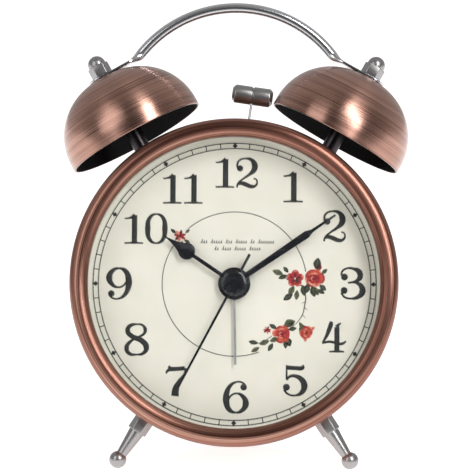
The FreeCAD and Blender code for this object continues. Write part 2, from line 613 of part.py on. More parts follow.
def hammer_parts():
    """Hammer head, wire rod and slotted lever, all one swinging piece on the pivot pin."""
    lean = size("hammer_lean")
    head = start_body("hammer_head")
    turn_about_axis(head, [
        ("0", "-head_long / 2"), ("head_r - head_chamfer", "-head_long / 2"),
        ("head_r", "head_chamfer - head_long / 2"), ("head_r", "-groove_half"),
        ("groove_r", "-groove_half"), ("groove_r", "groove_half"), ("head_r", "groove_half"),
        ("head_r", "head_long / 2 - head_chamfer"), ("head_r - head_chamfer", "head_long / 2"),
        ("0", "head_long / 2")])
    across = tilted(lean + 90)
    set_down("hammer_head", "hammer_reach * sin(hammer_lean)", "bell_y",
             "pivot_z + hammer_reach * cos(hammer_lean)", along=across)

    rod = start_body("hammer_rod")
    turn_about_axis(rod, [("0", "lever_end"), ("rod_r", "lever_end"),
                          ("rod_r", "hammer_reach - head_r"), ("0", "hammer_reach - head_r")])
    set_down("hammer_rod", "0", "bell_y", "pivot_z", along=tilted(lean))

    lever = start_body("hammer_lever")
    stand(lever, "lever_front", "lever_back",
          corners=rectangle("0", "lever_end / 2", "2 * lever_half", "lever_end"))
    stand(lever, "lever_front - 0.8", "lever_back + 0.8", circles=[("0", "0", "lever_hub_r")])
    cut(lever, "lever_front - 1", "lever_back + 1", circles=[("0", "0", "pivot_r + 0.05")])
    cut(lever, "lever_front", "lever_back",
        corners=rectangle("0", "(lever_slot_low + lever_slot_high) / 2", "2 * lever_slot_half",
                          "lever_slot_high - lever_slot_low"))
    set_down("hammer_lever", "0", "0", "pivot_z", spin=lean)


def bracket_screw_places():
    """The two places where the bracket is screwed to the movement's case."""
    return [(f"{side} * bracket_screw_x", "bracket_screw_z") for _, side in SIDES]


def hammer_drive():
    """Bracket, pivot pin, motor, motor pinion and the crank wheel that rocks the lever."""
    bracket = start_body("mechanism_bracket")
    stand(bracket, "bracket_front", "bracket_back", corners=[
        ("-bracket_half", "bracket_low"), ("bracket_half", "bracket_low"),
        ("bracket_half", "bracket_high"), ("-bracket_half", "bracket_high")])
    motor_x = f"{TEETH['crank_wheel'] + TEETH['motor_pinion']} * drive_module / 2"
    cut(bracket, "bracket_front", "bracket_back", circles=[
        ("0", "pivot_z", "pivot_r"), ("0", "crank_z", "crank_stud_r"),
        (motor_x, "crank_z", "motor_shaft_r + 0.4"),
        *[(x, z, "screw_r") for x, z in bracket_screw_places()]])
    set_down("mechanism_bracket")

    pin = start_body("hammer_pivot_pin")
    turn_about_axis(pin, [
        ("0", "pivot_front - pivot_clip"), ("pivot_clip_r", "pivot_front - pivot_clip"),
        ("pivot_clip_r", "pivot_front"), ("pivot_r", "pivot_front"), ("pivot_r", "lever_back + 1.2"),
        ("pivot_clip_r", "lever_back + 1.2"), ("pivot_clip_r", "bracket_front"),
        ("pivot_r", "bracket_front"), ("pivot_r", "bracket_back"), ("0", "bracket_back")])
    set_down("hammer_pivot_pin", "0", "0", "pivot_z")

    stud = start_body("crank_stud")
    turn_about_axis(stud, [
        ("0", "crank_front - 0.5"), ("crank_stud_r", "crank_front - 0.5"),
        ("crank_stud_r", "crank_back + 0.2"), ("crank_hub_r", "crank_back + 0.2"),
        ("crank_hub_r", "bracket_front"), ("crank_stud_r", "bracket_front"),
        ("crank_stud_r", "bracket_back"), ("0", "bracket_back")])
    set_down("crank_stud", "0", "0", "crank_z")

    wheel = start_body("crank_wheel")
    stand(wheel, "crank_front", "crank_back",
          circles=[("0", "0", rim(TEETH["crank_wheel"], "drive_module"))])
    stand(wheel, "crank_pin_front", "crank_back",
          circles=[("0", "crank_throw + crank_stud_r", "crank_pin_r")])
    add_teeth(wheel, TEETH["crank_wheel"], "drive_module", "crank_front", "crank_back")
    cut(wheel, "crank_front", "crank_back", circles=[("0", "0", "crank_stud_r + 0.05")])
    set_down("crank_wheel", "0", "0", "crank_z")

    pinion = start_body("motor_pinion")
    root = rim(TEETH["motor_pinion"], "drive_module")
    turn_about_axis(pinion, [
        ("0", "crank_front - 0.2"), (root, "crank_front - 0.2"), (root, "crank_back + 0.2"),
        ("motor_shaft_r", "crank_back + 0.2"), ("motor_shaft_r", "bracket_back + 1"),
        ("0", "bracket_back + 1")])
    add_teeth(pinion, TEETH["motor_pinion"], "drive_module", "crank_front - 0.2", "crank_back + 0.2")
    spin = meshed(TEETH["crank_wheel"], 0, TEETH["motor_pinion"], 90)
    set_down("motor_pinion", motor_x, "0", "crank_z", spin=spin)

    motor = start_body("alarm_motor")
    stand(motor, "bracket_back", "bracket_back + motor_long", circles=[("0", "0", "motor_r")])
    stand(motor, "bracket_back + motor_long", "bracket_back + motor_long + 0.8",
          circles=[("0", "0", "motor_r / 3")])
    cut(motor, "bracket_back", "bracket_back + 1.4", circles=[("0", "0", "motor_shaft_r + 0.06")])
    set_down("alarm_motor", motor_x, "0", "crank_z")

    screws = start_body("bracket_screws")
    places = bracket_screw_places()
    stand(screws, "move_back - move_wall - 1", "bracket_back",
          circles=[(x, z, "screw_r - 0.1") for x, z in places])
    stand(screws, "bracket_back", "bracket_back + screw_head",
          circles=[(x, z, "screw_head_r - 0.4") for x, z in places])
    set_down("bracket_screws")


# ---- Movement ----

# Modules of the wheel pairs, and the places of the arbors around the dial's axis.
RUNNING_MODULE = "0.2"
CENTRE_MODULE = "(2 * 6.8 / 72)"
SETTING_MODULE = "0.3"
HOUR_MODULE = "(2 * 7.2 / 50)"
FAST_MODULE = "0.25"
THIRD = ("0", "6.8")
MOTION = ("3.6", "-7.2 * sin(60)")
KNOBS = {"alarm": ("-7.2", "0"), "time": ("3.6 + 7.2", "-7.2 * sin(60)")}
FAST = ("6.8 * cos(10)", "6.8 * sin(10)")
ROTOR = ("11.8 * cos(10)", "11.8 * sin(10)")


def meshed(count, spin, other_count, direction):
    """How far a wheel is spun to mesh with another that lies in a direction (degrees from up)."""
    return direction + 180 - (spin - direction) * count / other_count - 180 / other_count


def arbor_wheel(label, place, spin, wheel, pinion, wheel_module, pinion_module, layer, pinion_layer,
                front, back):
    """A brass wheel and its steel pinion on one thin arbor between two bearings."""
    body = start_body(label)
    rims = sorted([(LAYERS[layer], rim(TEETH[wheel], wheel_module)),
                   (LAYERS[pinion_layer], rim(TEETH[pinion], pinion_module))])
    outline = [("0", front), ("pin_r", front)]
    for (low, high), radius in rims:
        outline += [("pin_r", low), (radius, low), (radius, high), ("pin_r", high)]
    outline += [("pin_r", back), ("0", back)]
    turn_about_axis(body, outline)
    add_teeth(body, TEETH[wheel], wheel_module, *LAYERS[layer])
    add_teeth(body, TEETH[pinion], pinion_module, *LAYERS[pinion_layer])
    set_down(label, place[0], "0", place[1], spin=spin)


def tube_wheel(label, bore, outer, front, wheel, module, layer, back, spin):
    """A wheel moulded on the tube that carries a hand."""
    body = start_body(label)
    low, high = LAYERS[layer]
    root = rim(TEETH[wheel], module)
    outline = [(bore, front), (outer, front), (outer, low), (root, low), (root, high)]
    outline += [(bore, high)] if back is None else [(outer, high), (outer, back), (bore, back)]
    turn_about_axis(body, outline)
    add_teeth(body, TEETH[wheel], module, low, high)
    set_down(label, spin=spin)


def wheels():
    """Every turning piece of the movement, spun so that its teeth mesh at rest."""
    front, bridge = "move_front + 0.2", LAYERS["bridge"][1]
    third_spin = meshed(TEETH["second_pinion"], 0, TEETH["third_wheel"], 0)
    centre_spin = meshed(TEETH["third_pinion"], third_spin, TEETH["centre_wheel"], 180)
    motion_way, fast_way = 150, 80
    motion_spin = meshed(TEETH["cannon_pinion"], 0, TEETH["motion_wheel"], motion_way)
    hour_spin = meshed(TEETH["motion_pinion"], motion_spin, TEETH["hour_wheel"], motion_way + 180)
    time_spin = meshed(TEETH["motion_wheel"], motion_spin, TEETH["knob_pinion"], 90)
    alarm_spin = meshed(TEETH["alarm_wheel"], 0, TEETH["knob_pinion"], -90)
    fast_spin = meshed(TEETH["second_wheel"], 0, TEETH["fast_pinion"], fast_way)
    rotor_spin = meshed(TEETH["fast_wheel"], fast_spin, TEETH["rotor_pinion"], fast_way)

    add_arbor_wheels(front, bridge, third_spin, motion_spin, fast_spin)
    tube_wheel("alarm_wheel", "alarm_bore_r", "alarm_r", "alarm_hand_y", "alarm_wheel",
               SETTING_MODULE, "alarm", None, 0)
    tube_wheel("hour_wheel", "hour_bore_r", "hour_r", "hour_hand_y", "hour_wheel", HOUR_MODULE,
               "hour", None, hour_spin)
    tube_wheel("cannon_pinion", "minute_bore_r", "minute_r", "minute_hand_y", "cannon_pinion",
               SETTING_MODULE, "motion", LAYERS["centre"][1], 0)

    centre = start_body("centre_wheel")
    low, high = LAYERS["centre"]
    stand(centre, low, high, circles=[("0", "0", rim(TEETH["centre_wheel"], CENTRE_MODULE))])
    add_teeth(centre, TEETH["centre_wheel"], CENTRE_MODULE, low, high)
    cut(centre, low, high, circles=[("0", "0", "minute_r + 0.05")])
    set_down("centre_wheel", spin=centre_spin)

    for name, layer, spin in (("time", "motion", time_spin), ("alarm", "alarm", alarm_spin)):
        knob_arbor(f"{name}_arbor", layer, *KNOBS[name], spin)
        knob(f"{name}_knob", *KNOBS[name])

    rotor = start_body("rotor")
    low, high = LAYERS["fast"]
    root = rim(TEETH["rotor_pinion"], FAST_MODULE)
    near, far = LAYERS["magnet"]
    turn_about_axis(rotor, [
        ("0", front), ("pin_r", front), ("pin_r", low), (root, low), (root, high), ("pin_r", high),
        ("pin_r", near), ("magnet_r", near), ("magnet_r", far), ("pin_r", far), ("pin_r", bridge),
        ("0", bridge)])
    add_teeth(rotor, TEETH["rotor_pinion"], FAST_MODULE, low, high)
    set_down("rotor", ROTOR[0], "0", ROTOR[1], spin=rotor_spin)


def add_arbor_wheels(front, bridge, third_spin, motion_spin, fast_spin):
    """The wheels that share an arbor with a pinion."""
    arbor_wheel("third_wheel", THIRD, third_spin, "third_wheel", "third_pinion", RUNNING_MODULE,
                CENTRE_MODULE, "third", "centre", front, bridge)
    arbor_wheel("motion_wheel", MOTION, motion_spin, "motion_wheel", "motion_pinion",
                SETTING_MODULE, HOUR_MODULE, "motion", "hour", front, f"{LAYERS['motion'][1]} + 0.4")
    arbor_wheel("fast_wheel", FAST, fast_spin, "fast_wheel", "fast_pinion", FAST_MODULE,
                RUNNING_MODULE, "fast", "second", front, bridge)
    arbor_wheel("second_wheel", ("0", "0"), 0, "second_wheel", "second_pinion", RUNNING_MODULE,
                RUNNING_MODULE, "second", "third", "cap_front + 0.3", bridge)


def case_outline(margin="0"):
    """The movement case's outline, drawn in by a margin."""
    half, low, high = f"move_half - ({margin})", f"move_low + {margin}", f"move_top - ({margin})"
    return [(f"-({half})", low), (half, low), (half, high), (f"-({half})", high)]


def movement_cases():
    """Front and rear halves of the movement's case, the bridge plate and the dial nut."""
    front = start_body("movement_front_case")
    stand(front, "move_front", "move_split", corners=case_outline())
    cut(front, "move_front + move_wall", "move_split", corners=case_outline("move_wall"))
    stand(front, "bush_front", "move_front + move_wall", circles=[("0", "0", "bush_r")])
    pivots = [(*place, "pivot_hole_r") for place in (THIRD, MOTION, FAST, ROTOR, *KNOBS.values())]
    cut(front, "bush_front - 1", "move_front + move_wall + 1",
        circles=[("0", "0", "bush_bore_r"), *pivots])
    set_down("movement_front_case")

    bridge = start_body("movement_bridge")
    low, high = LAYERS["bridge"]
    stand(bridge, low, high, corners=case_outline("move_wall + 0.1"))
    pivots = [(*place, "pivot_hole_r") for place in (("0", "0"), THIRD, FAST, ROTOR)]
    arbors = [(*place, "knob_arbor_r + 0.1") for place in KNOBS.values()]
    cut(bridge, low, high, circles=pivots + arbors)
    set_down("movement_bridge")

    rear = start_body("movement_rear_case")
    stand(rear, "move_split", "move_back", corners=case_outline())
    cut(rear, "move_split", "move_back - move_wall", corners=case_outline("move_wall"))
    holes = [(*place, "knob_shaft_r + 0.1") for place in KNOBS.values()]
    holes += [(x, z, "screw_r") for x, z in bracket_screw_places()]
    cut(rear, "move_back - move_wall", "move_back", circles=holes)
    set_down("movement_rear_case")

    nut = start_body("dial_nut")
    stand(nut, "dial_nut_front", "dial_front", corners=polygon(6, "dial_nut_r"),
          circles=[("0", "0", "bush_r")])
    set_down("dial_nut")


def movement_electrics():
    """Circuit board, quartz crystal, coil and stator of the stepping motor."""
    board = start_body("circuit_board")
    low, high = LAYERS["board"]
    stand(board, low, high, corners=rectangle("board_x", "board_z", "board_wide", "board_tall"))
    set_down("circuit_board")

    crystal = start_body("quartz_crystal")
    stand(crystal, "-crystal_long / 2", "crystal_long / 2", circles=[("0", "0", "crystal_r")])
    set_down("quartz_crystal", "board_x", f"{high} + crystal_r + 0.1", "crystal_z", along=(1, 0, 0))

    stator = start_body("stator")
    low, high = LAYERS["stator"]
    stand(stator, low, high, corners=[
        ("stator_left", "stator_low"), ("stator_right", "stator_low"),
        ("stator_right", "stator_high"), ("stator_left", "stator_high")])
    cut(stator, low, high, circles=[(*ROTOR, "stator_bore_r")])
    cut(stator, low, high, corners=rectangle("stator_window_x", "stator_window_z",
                                             "stator_window_wide", "stator_window_tall"))
    set_down("stator")

    coil = start_body("coil")
    low, high = LAYERS["coil"]
    stand(coil, low, high, corners=rectangle("stator_window_x", "coil_z", "coil_long", "coil_wide"))
    arm_low, arm_high = f"{LAYERS['stator'][0]} - 0.05", f"{LAYERS['stator'][1]} + 0.05"
    sketch = sketch_on(coil, "YZ_Plane", lift="stator_left + 1")
    draw_outline(sketch, [(arm_low, "coil_core_low"), (arm_high, "coil_core_low"),
                          (arm_high, "coil_core_high"), (arm_low, "coil_core_high")])
    pocket(coil, sketch, "coil_long + 3.4", towards_normal=True)
    set_down("coil")


# ---- Hands ----

def blade(half, low, high, high_half):
    """The outline of a straight hand that narrows upwards."""
    return [(f"-{half}", low), (half, low), (high_half, high), (f"-{high_half}", high)]


def hand(label, depth, angle, corners, hub, bore):
    """A stamped hand: a disc about the arbor and a blade drawn upwards, then turned to its hour."""
    body = start_body(label)
    back = f"{depth} + hand_thick"
    stand(body, depth, back, circles=[("0", "0", hub)])
    stand(body, depth, back, corners=corners)
    cut(body, f"{depth} - 0.1", f"{back} + 0.1", circles=[("0", "0", f"{bore} + 0.01")])
    set_down(label, spin=size(angle))
    return body


def hands():
    """Hour, minute, second and alarm hands, set to eight past ten with the alarm at six."""
    spade_low = "spade_z - sqrt(spade_r ^ 2 - spade_stem ^ 2)"
    hand("hour_hand", "hour_hand_y", "hour_angle", [
        ("-spade_stem", "hub_r - 1.8"), ("spade_stem", "hub_r - 1.8"), ("spade_stem", spade_low),
        ("spade_shoulder_x", "spade_shoulder_z", "spade_r", 1),
        ("spade_point_half", "spade_point", "spade_flank_r", -1),
        ("-spade_point_half", "spade_point"),
        ("-spade_shoulder_x", "spade_shoulder_z", "spade_flank_r", -1),
        ("-spade_stem", spade_low, "spade_r", 1)], "hub_r", "hour_r")
    hand("minute_hand", "minute_hand_y", "minute_angle", [
        ("-minute_half", "3"), ("minute_half", "3"), ("minute_swell", "minute_swell_z"),
        ("minute_neck", "minute_neck_z"), ("minute_point_half", "minute_point"),
        ("-minute_point_half", "minute_point"), ("-minute_neck", "minute_neck_z"),
        ("-minute_swell", "minute_swell_z")], "cap_r - 0.4", "minute_r")
    hand("alarm_hand", "alarm_hand_y", "alarm_angle",
         blade("alarm_half", "alarm_r + 0.35", "alarm_point", "alarm_point_half"),
         "alarm_hub_r", "alarm_r")
    second = hand("second_hand", "second_hand_y", "second_angle",
                  blade("second_half", "-second_tail", "second_point", "second_point_half"),
                  "cap_r - 0.2", "second_r")
    turn_about_axis(second, [
        ("0", "cap_front"), ("cap_r - 0.3", "cap_front"), ("cap_r", "cap_front + 0.3"),
        ("cap_r", "second_hand_y + 0.1"), ("second_r + 0.01", "second_hand_y + 0.1"),
        ("second_r + 0.01", "cap_front + 0.3"), ("0", "cap_front + 0.3")])


# ---- Assembly ----

def build_all():
    """Every sub-part of the clock."""
    case_drum()
    front_bezel()
    dial_parts()
    rear_cover()
    cover_lugs()
    cover_screws()
    alarm_switch()
    battery_parts()
    for name, side in SIDES:
        bell(f"{name}_bell", side)
        bell_post(f"{name}_bell_post", side)
        cap_nut(f"{name}_cap_nut", side)
        foot(f"{name}_foot", side)
    lock_nuts()
    handle()
    hammer_parts()
    hammer_drive()
    wheels()
    movement_cases()
    movement_electrics()
    hands()


def lean_back():
    """Leans the clock until the ball feet and the drum's rear edge stand on one plane, and moves the
    origin to the middle of the whole clock's underside."""
    ball_z = size("foot_ball_place * cos(foot_angle)")
    run = size("drum_back - foot_y")
    drop = ball_z - size("drum_r")
    span = math.hypot(run, drop)
    lean = math.asin(size("foot_ball_r") / span) + math.atan2(drop, run)
    turn = FreeCAD.Placement(FreeCAD.Vector(), FreeCAD.Rotation(FreeCAD.Vector(1, 0, 0),
                                                                -math.degrees(lean)))
    for part in PARTS.values():
        part.Placement = turn.multiply(part.Placement)
    doc.recompute()
    box = FreeCAD.BoundBox()
    for part in PARTS.values():
        box.add(part.Shape.optimalBoundingBox(False))
    shift = FreeCAD.Vector(-box.Center.x, -box.Center.y, -box.ZMin)
    for part in PARTS.values():
        part.Placement = FreeCAD.Placement(shift, FreeCAD.Rotation()).multiply(part.Placement)
    doc.recompute()


def check_all():
    """Stops before anything is written if an object failed or a sub-part is empty or broken."""
    for item in doc.Objects:
        if "Invalid" in item.State or "Error" in item.State:
            raise RuntimeError(f"{item.Name} failed: {item.State}")
    for label, part in PARTS.items():
        if part.Shape.isNull() or not part.Shape.isValid():
            raise RuntimeError(f"{label} has no valid shape")


build_all()
doc.recompute()
lean_back()
check_all()
os.makedirs("parts", exist_ok=True)
for label, part in PARTS.items():
    part.Shape.exportStep(f"parts/{label}.step")
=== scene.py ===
import bmesh
import bpy
import json
import math
import random
from mathutils import Matrix, Vector


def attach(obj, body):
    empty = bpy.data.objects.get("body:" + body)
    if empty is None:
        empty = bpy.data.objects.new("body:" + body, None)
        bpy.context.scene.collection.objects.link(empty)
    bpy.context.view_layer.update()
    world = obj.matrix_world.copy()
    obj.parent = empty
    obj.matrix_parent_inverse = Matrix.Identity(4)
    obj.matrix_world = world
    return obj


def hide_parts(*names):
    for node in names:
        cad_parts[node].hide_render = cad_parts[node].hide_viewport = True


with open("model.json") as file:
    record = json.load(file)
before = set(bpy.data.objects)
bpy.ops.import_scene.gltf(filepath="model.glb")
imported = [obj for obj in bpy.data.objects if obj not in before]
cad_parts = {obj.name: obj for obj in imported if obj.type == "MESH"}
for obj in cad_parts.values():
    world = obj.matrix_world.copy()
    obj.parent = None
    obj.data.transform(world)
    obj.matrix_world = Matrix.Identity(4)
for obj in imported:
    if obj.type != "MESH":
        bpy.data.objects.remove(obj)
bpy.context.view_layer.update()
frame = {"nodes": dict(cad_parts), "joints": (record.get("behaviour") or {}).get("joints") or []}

# ---------------------------------------------------------------------------------------------
# Drum: a drawn steel tube, brushed round and round, plated with antique copper and lacquered.
# Everything is laid out in the clock's own millimetres: x to the right, y back from the bezel's
# front, z up, with the dial's axis on y. The clock then leans back on its feet.
# ---------------------------------------------------------------------------------------------
dial_turn = next(joint for joint in frame["joints"] if joint["name"] == "minute_turn")
ACROSS = Vector((1, 0, 0))
DIAL_AXIS = Vector(dial_turn["axis"]).normalized()
CLOCK_UP = ACROSS.cross(DIAL_AXIS)
ARBOR_POINT = 20.0
TURN_SCALE = 20.0
STANDING = Matrix.Translation(Vector(dial_turn["pos_m"]) - DIAL_AXIS * ARBOR_POINT * 0.001)
STANDING = STANDING @ Matrix((ACROSS, DIAL_AXIS, CLOCK_UP)).transposed().to_4x4()
STANDING = STANDING @ Matrix.Scale(0.001, 4)


def linear(hex_colour):
    """An sRGB hex colour as the linear colour that a shader takes."""
    parts = [int(hex_colour[i:i + 2], 16) / 255 for i in (1, 3, 5)]
    return [p / 12.92 if p < 0.04045 else ((p + 0.055) / 1.055) ** 2.4 for p in parts] + [1.0]


def start_material(name):
    """An empty material with its shader and output joined."""
    material = bpy.data.materials.new(name)
    material.use_nodes = True
    tree = material.node_tree
    return material, tree, tree.nodes["Principled BSDF"]


def add(tree, kind, links=(), stops=(), **settings):
    """Adds a node. Settings are its own or name a socket, stops are a colour ramp's (position, hex
    colour), and links are (socket, source), where a source may also be a plain value."""
    node = tree.nodes.new(kind)
    for key, value in settings.items():
        if hasattr(node, key):
            setattr(node, key, value)
        else:
            node.inputs[key.replace("_", " ").title()].default_value = value
    if stops:
        elements = node.color_ramp.elements
        while len(elements) < len(stops):
            elements.new(0.5)
        for element, (place, colour) in zip(elements, stops):
            element.position, element.color = place, linear(colour)
    for socket, source in links:
        if isinstance(source, bpy.types.NodeSocket):
            tree.links.new(source, node.inputs[socket])
        else:
            node.inputs[socket].default_value = source
    return node


def dress(tree, shader, pattern, stops, gloss, spread=0.0, gloss_pattern=None, bump=None):
    """Colours a shader by a pattern's stops, if any, sets its gloss, which may spread along a
    pattern, and gives it a bump of (height, strength, distance)."""
    if stops:
        colours = add(tree, "ShaderNodeValToRGB", [("Fac", pattern)], stops)
        tree.links.new(colours.outputs["Color"], shader.inputs["Base Color"])
    shader.inputs["Roughness"].default_value = gloss
    if gloss_pattern:
        spread_out = add(tree, "ShaderNodeMapRange", [("Value", gloss_pattern)], from_min=0.3,
                         from_max=0.7, to_min=gloss, to_max=gloss + spread)
        tree.links.new(spread_out.outputs["Result"], shader.inputs["Roughness"])
    if bump:
        raised = add(tree, "ShaderNodeBump", [("Height", bump[0])], strength=bump[1], distance=bump[2])
        tree.links.new(raised.outputs["Normal"], shader.inputs["Normal"])


def clouded(name, stops, cloud, gloss, spread=0.0, grain=None, gloss_from="cloud"):
    """A material whose tone follows a soft cloud. The cloud is a noise's (scale, detail), and the
    grain, which the bump follows, its (scale, detail, strength, distance)."""
    material, tree, shader = start_material(name)
    place = add(tree, "ShaderNodeTexCoord").outputs["Object"]
    found = {"cloud": add(tree, "ShaderNodeTexNoise", [("Vector", place)], scale=cloud[0],
                          detail=cloud[1]).outputs["Fac"]}
    if grain:
        found["grain"] = add(tree, "ShaderNodeTexNoise", [("Vector", place)], scale=grain[0],
                             detail=grain[1]).outputs["Fac"]
    dress(tree, shader, found["cloud"], stops, gloss, spread, found[gloss_from] if spread else None,
          (found["grain"], grain[2], grain[3]) if grain else None)
    return material


def line_pattern(tree, spun, across_per_mm, along_per_mm):
    """Fine brush lines. On a spun piece they follow its UV map, which is the turn round the piece
    and the millimetres along its profile. On another they run round the dial's axis."""
    if spun:
        place = add(tree, "ShaderNodeUVMap", uv_map="profile").outputs["UV"]
        parts = add(tree, "ShaderNodeSeparateXYZ", [("Vector", place)])
        turn = add(tree, "ShaderNodeMath", [(0, parts.outputs["X"]), (1, 1 / TURN_SCALE)],
                   operation="MULTIPLY")
        round_x = add(tree, "ShaderNodeMath", [(0, turn.outputs[0])], operation="COSINE")
        round_y = add(tree, "ShaderNodeMath", [(0, turn.outputs[0])], operation="SINE")
        place = add(tree, "ShaderNodeCombineXYZ", [("X", round_x.outputs[0]), ("Y", round_y.outputs[0]),
                                                   ("Z", parts.outputs["Y"])]).outputs[0]
        scale = (along_per_mm * TURN_SCALE, along_per_mm * TURN_SCALE, across_per_mm)
    else:
        coordinate = add(tree, "ShaderNodeTexCoord").outputs["Object"]
        depth = add(tree, "ShaderNodeVectorMath", [(0, coordinate), (1, DIAL_AXIS * 1000)],
                    operation="DOT_PRODUCT")
        place = add(tree, "ShaderNodeCombineXYZ", [("Z", depth.outputs["Value"])]).outputs[0]
        scale = (1, 1, across_per_mm)
    mapped = add(tree, "ShaderNodeMapping", [("Vector", place)], scale=scale)
    noise = add(tree, "ShaderNodeTexNoise", [("Vector", mapped.outputs["Vector"])],
                scale=1.0, detail=5.0, roughness=0.65)
    return noise.outputs["Fac"]


def antique_copper(name, spun, light, dark, gloss):
    """Antique copper plate on brushed steel: fine lines round the piece, browner in the hollows of
    the brushing, with a clear lacquer that keeps a second, sharper gloss."""
    material, tree, shader = start_material(name)
    fine = line_pattern(tree, spun, 5.0, 0.02)
    broad = line_pattern(tree, spun, 0.45, 0.008)
    mixed = add(tree, "ShaderNodeMath", [(0, fine), (1, broad)], operation="ADD")
    mean = add(tree, "ShaderNodeMath", [(0, mixed.outputs[0]), (1, 0.5)], operation="MULTIPLY")
    dress(tree, shader, mean.outputs[0], [(0.36, dark), (0.50, light), (0.66, "#C9A08E")], gloss, 0.14,
          fine, (fine, 0.25, 0.00004))
    shader.inputs["Metallic"].default_value = 1.0
    shader.inputs["Coat Weight"].default_value = 0.25
    shader.inputs["Coat Roughness"].default_value = 0.12
    if spun:
        shader.inputs["Anisotropic"].default_value = 0.75
        shader.inputs["Anisotropic Rotation"].default_value = 0.25
        tangent = add(tree, "ShaderNodeTangent", direction_type="UV_MAP", uv_map="profile")
        tree.links.new(tangent.outputs["Tangent"], shader.inputs["Tangent"])
    return material


def paint(node_names, material):
    """Gives CAD nodes a material in place of their plain one."""
    for name in node_names:
        mesh = frame["nodes"][name].data
        mesh.materials.clear()
        mesh.materials.append(material)


copper_drum = antique_copper("antique_copper_drum", False, "#A67663", "#644437", 0.30)
paint(["case_drum"], copper_drum)


# ---------------------------------------------------------------------------------------------
# Bezel: a rounded ring spun from steel and plated like the drum, with a rolled inner lip. Its
# skirt is pushed over the drum's front edge.
# ---------------------------------------------------------------------------------------------
def arc(centre, radius, start, end, steps):
    """Points along an arc; angles in degrees from the radius axis towards the depth axis."""
    turns = [math.radians(start + (end - start) * i / steps) for i in range(steps + 1)]
    return [(centre[0] + radius * math.cos(t), centre[1] + radius * math.sin(t)) for t in turns]


def soften(outline, size, closed=True):
    """Rounds each corner of an outline by a small arc, as a burnished or worn edge."""
    points = []
    for number, (x, y) in enumerate(outline):
        before, after = outline[number - 1], outline[(number + 1) % len(outline)]
        here = Vector((x, y))
        if not closed and number in (0, len(outline) - 1):
            points.append((x, y))
            continue
        in_way, out_way = Vector(before) - here, Vector(after) - here
        cut = min(size, in_way.length * 0.4, out_way.length * 0.4)
        first, last = here + in_way.normalized() * cut, here + out_way.normalized() * cut
        for step in range(4):
            t = step / 3
            points.append(tuple(first * (1 - t) ** 2 + here * 2 * t * (1 - t) + last * t ** 2))
    return points


def settle_mesh(shape, place, name, material, body, stands_for=(), sharp=40):
    """Makes a mesh of a bmesh, puts it in the standing clock and lets it ride on its body."""
    mesh = bpy.data.meshes.new(name)
    shape.to_mesh(mesh)
    shape.free()
    return settle(mesh, place, name, material, body, stands_for, sharp)


def settle(mesh, place, name, material, body, stands_for=(), sharp=40):
    """Puts a finished mesh in the standing clock and lets it ride on its body."""
    mesh.transform(STANDING @ place)
    if not mesh.materials:
        mesh.materials.append(material)
    mesh.materials[0] = material
    for face in mesh.polygons:
        face.use_smooth = True
    mesh.set_sharp_from_angle(angle=math.radians(sharp))
    piece = bpy.data.objects.new(name, mesh)
    bpy.context.collection.objects.link(piece)
    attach(piece, body)
    if stands_for:
        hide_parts(*stands_for)
    return piece


def map_profile(shape, outline=()):
    """A UV map: the turn round the y axis, and the millimetres along the outline or up the piece."""
    runs, whole = {}, 0.0
    for number, point in enumerate(outline):
        whole += math.dist(point, outline[number - 1]) if number else 0.0
        runs[(round(point[0], 2), round(point[1], 2))] = whole
    layer = shape.loops.layers.uv.new("profile")
    for face in shape.faces:
        turns = [math.atan2(loop.vert.co.x, loop.vert.co.z) for loop in face.loops]
        crosses = max(turns) - min(turns) > math.pi
        heights = []
        for loop in face.loops:
            point = loop.vert.co
            key = (round(math.hypot(point.x, point.z), 2), round(point.y, 2))
            heights.append(runs.get(key, point.y))
        closes = outline and max(heights) - min(heights) > whole / 2
        for loop, turn, height in zip(face.loops, turns, heights):
            turn += 2 * math.pi if crosses and turn < 0 else 0
            height += whole if closes and height < whole / 2 else 0
            loop[layer].uv = (turn * TURN_SCALE, height)


def spin_outline(outline, closed=True, steps=160):
    """A bmesh of an outline of (radius, depth) spun about the y axis."""
    shape = bmesh.new()
    points = [shape.verts.new((radius, depth, 0)) for radius, depth in outline]
    pairs = list(zip(points, points[1:]))
    if closed:
        pairs.append((points[-1], points[0]))
    edges = [shape.edges.new(pair) for pair in pairs]
    bmesh.ops.spin(shape, geom=points + edges, cent=(0, 0, 0), axis=(0, 1, 0), angle=2 * math.pi,
                   steps=steps, use_merge=True)
    bmesh.ops.remove_doubles(shape, verts=shape.verts, dist=1e-4)
    bmesh.ops.recalc_face_normals(shape, faces=shape.faces)
    map_profile(shape, outline)
    return shape


HERE = Matrix.Identity(4)
DRUM_R = 57.5
LIP_R, BEZEL_R = 52.0, 58.5
BEZEL_CROWN_R = 3.3
crown = arc(((LIP_R + BEZEL_R) / 2, 3.4), BEZEL_CROWN_R, 186, 354, 24)
bezel_outline = [(LIP_R, 5.2), (LIP_R, 3.2)] + crown + [(BEZEL_R, 7.1), (DRUM_R + 0.1, 7.1),
                                                        (DRUM_R + 0.1, 5.2)]
# The bezel has the drum's copper plate, but its colours are set darker: painted shade for the dark
# surroundings that its rounded face reflects.
shaded_copper_bezel = antique_copper("antique_copper_bezel_painted_shade", True, "#87584A", "#44281F", 0.26)
settle_mesh(spin_outline(bezel_outline), HERE, "bezel", shaded_copper_bezel, "root", ["front_bezel"])


# ---------------------------------------------------------------------------------------------
# Bells: two thin steel domes, spun on a lathe and plated like the bezel, so their brushing runs
# round the rim. Each sits mouth down on its post and is clamped under the handle's end.
# ---------------------------------------------------------------------------------------------
BELL_TILT, BELL_X, BELL_Y, BELL_Z = 29.0, 36.0, 25.0, 53.9
BELL_R, BELL_SKIRT, BELL_DOME_R, BELL_WALL, BELL_BORE_R = 25.8, 2.5, 22.5, 0.9, 2.05
SIDES = (("left", -1), ("right", 1))


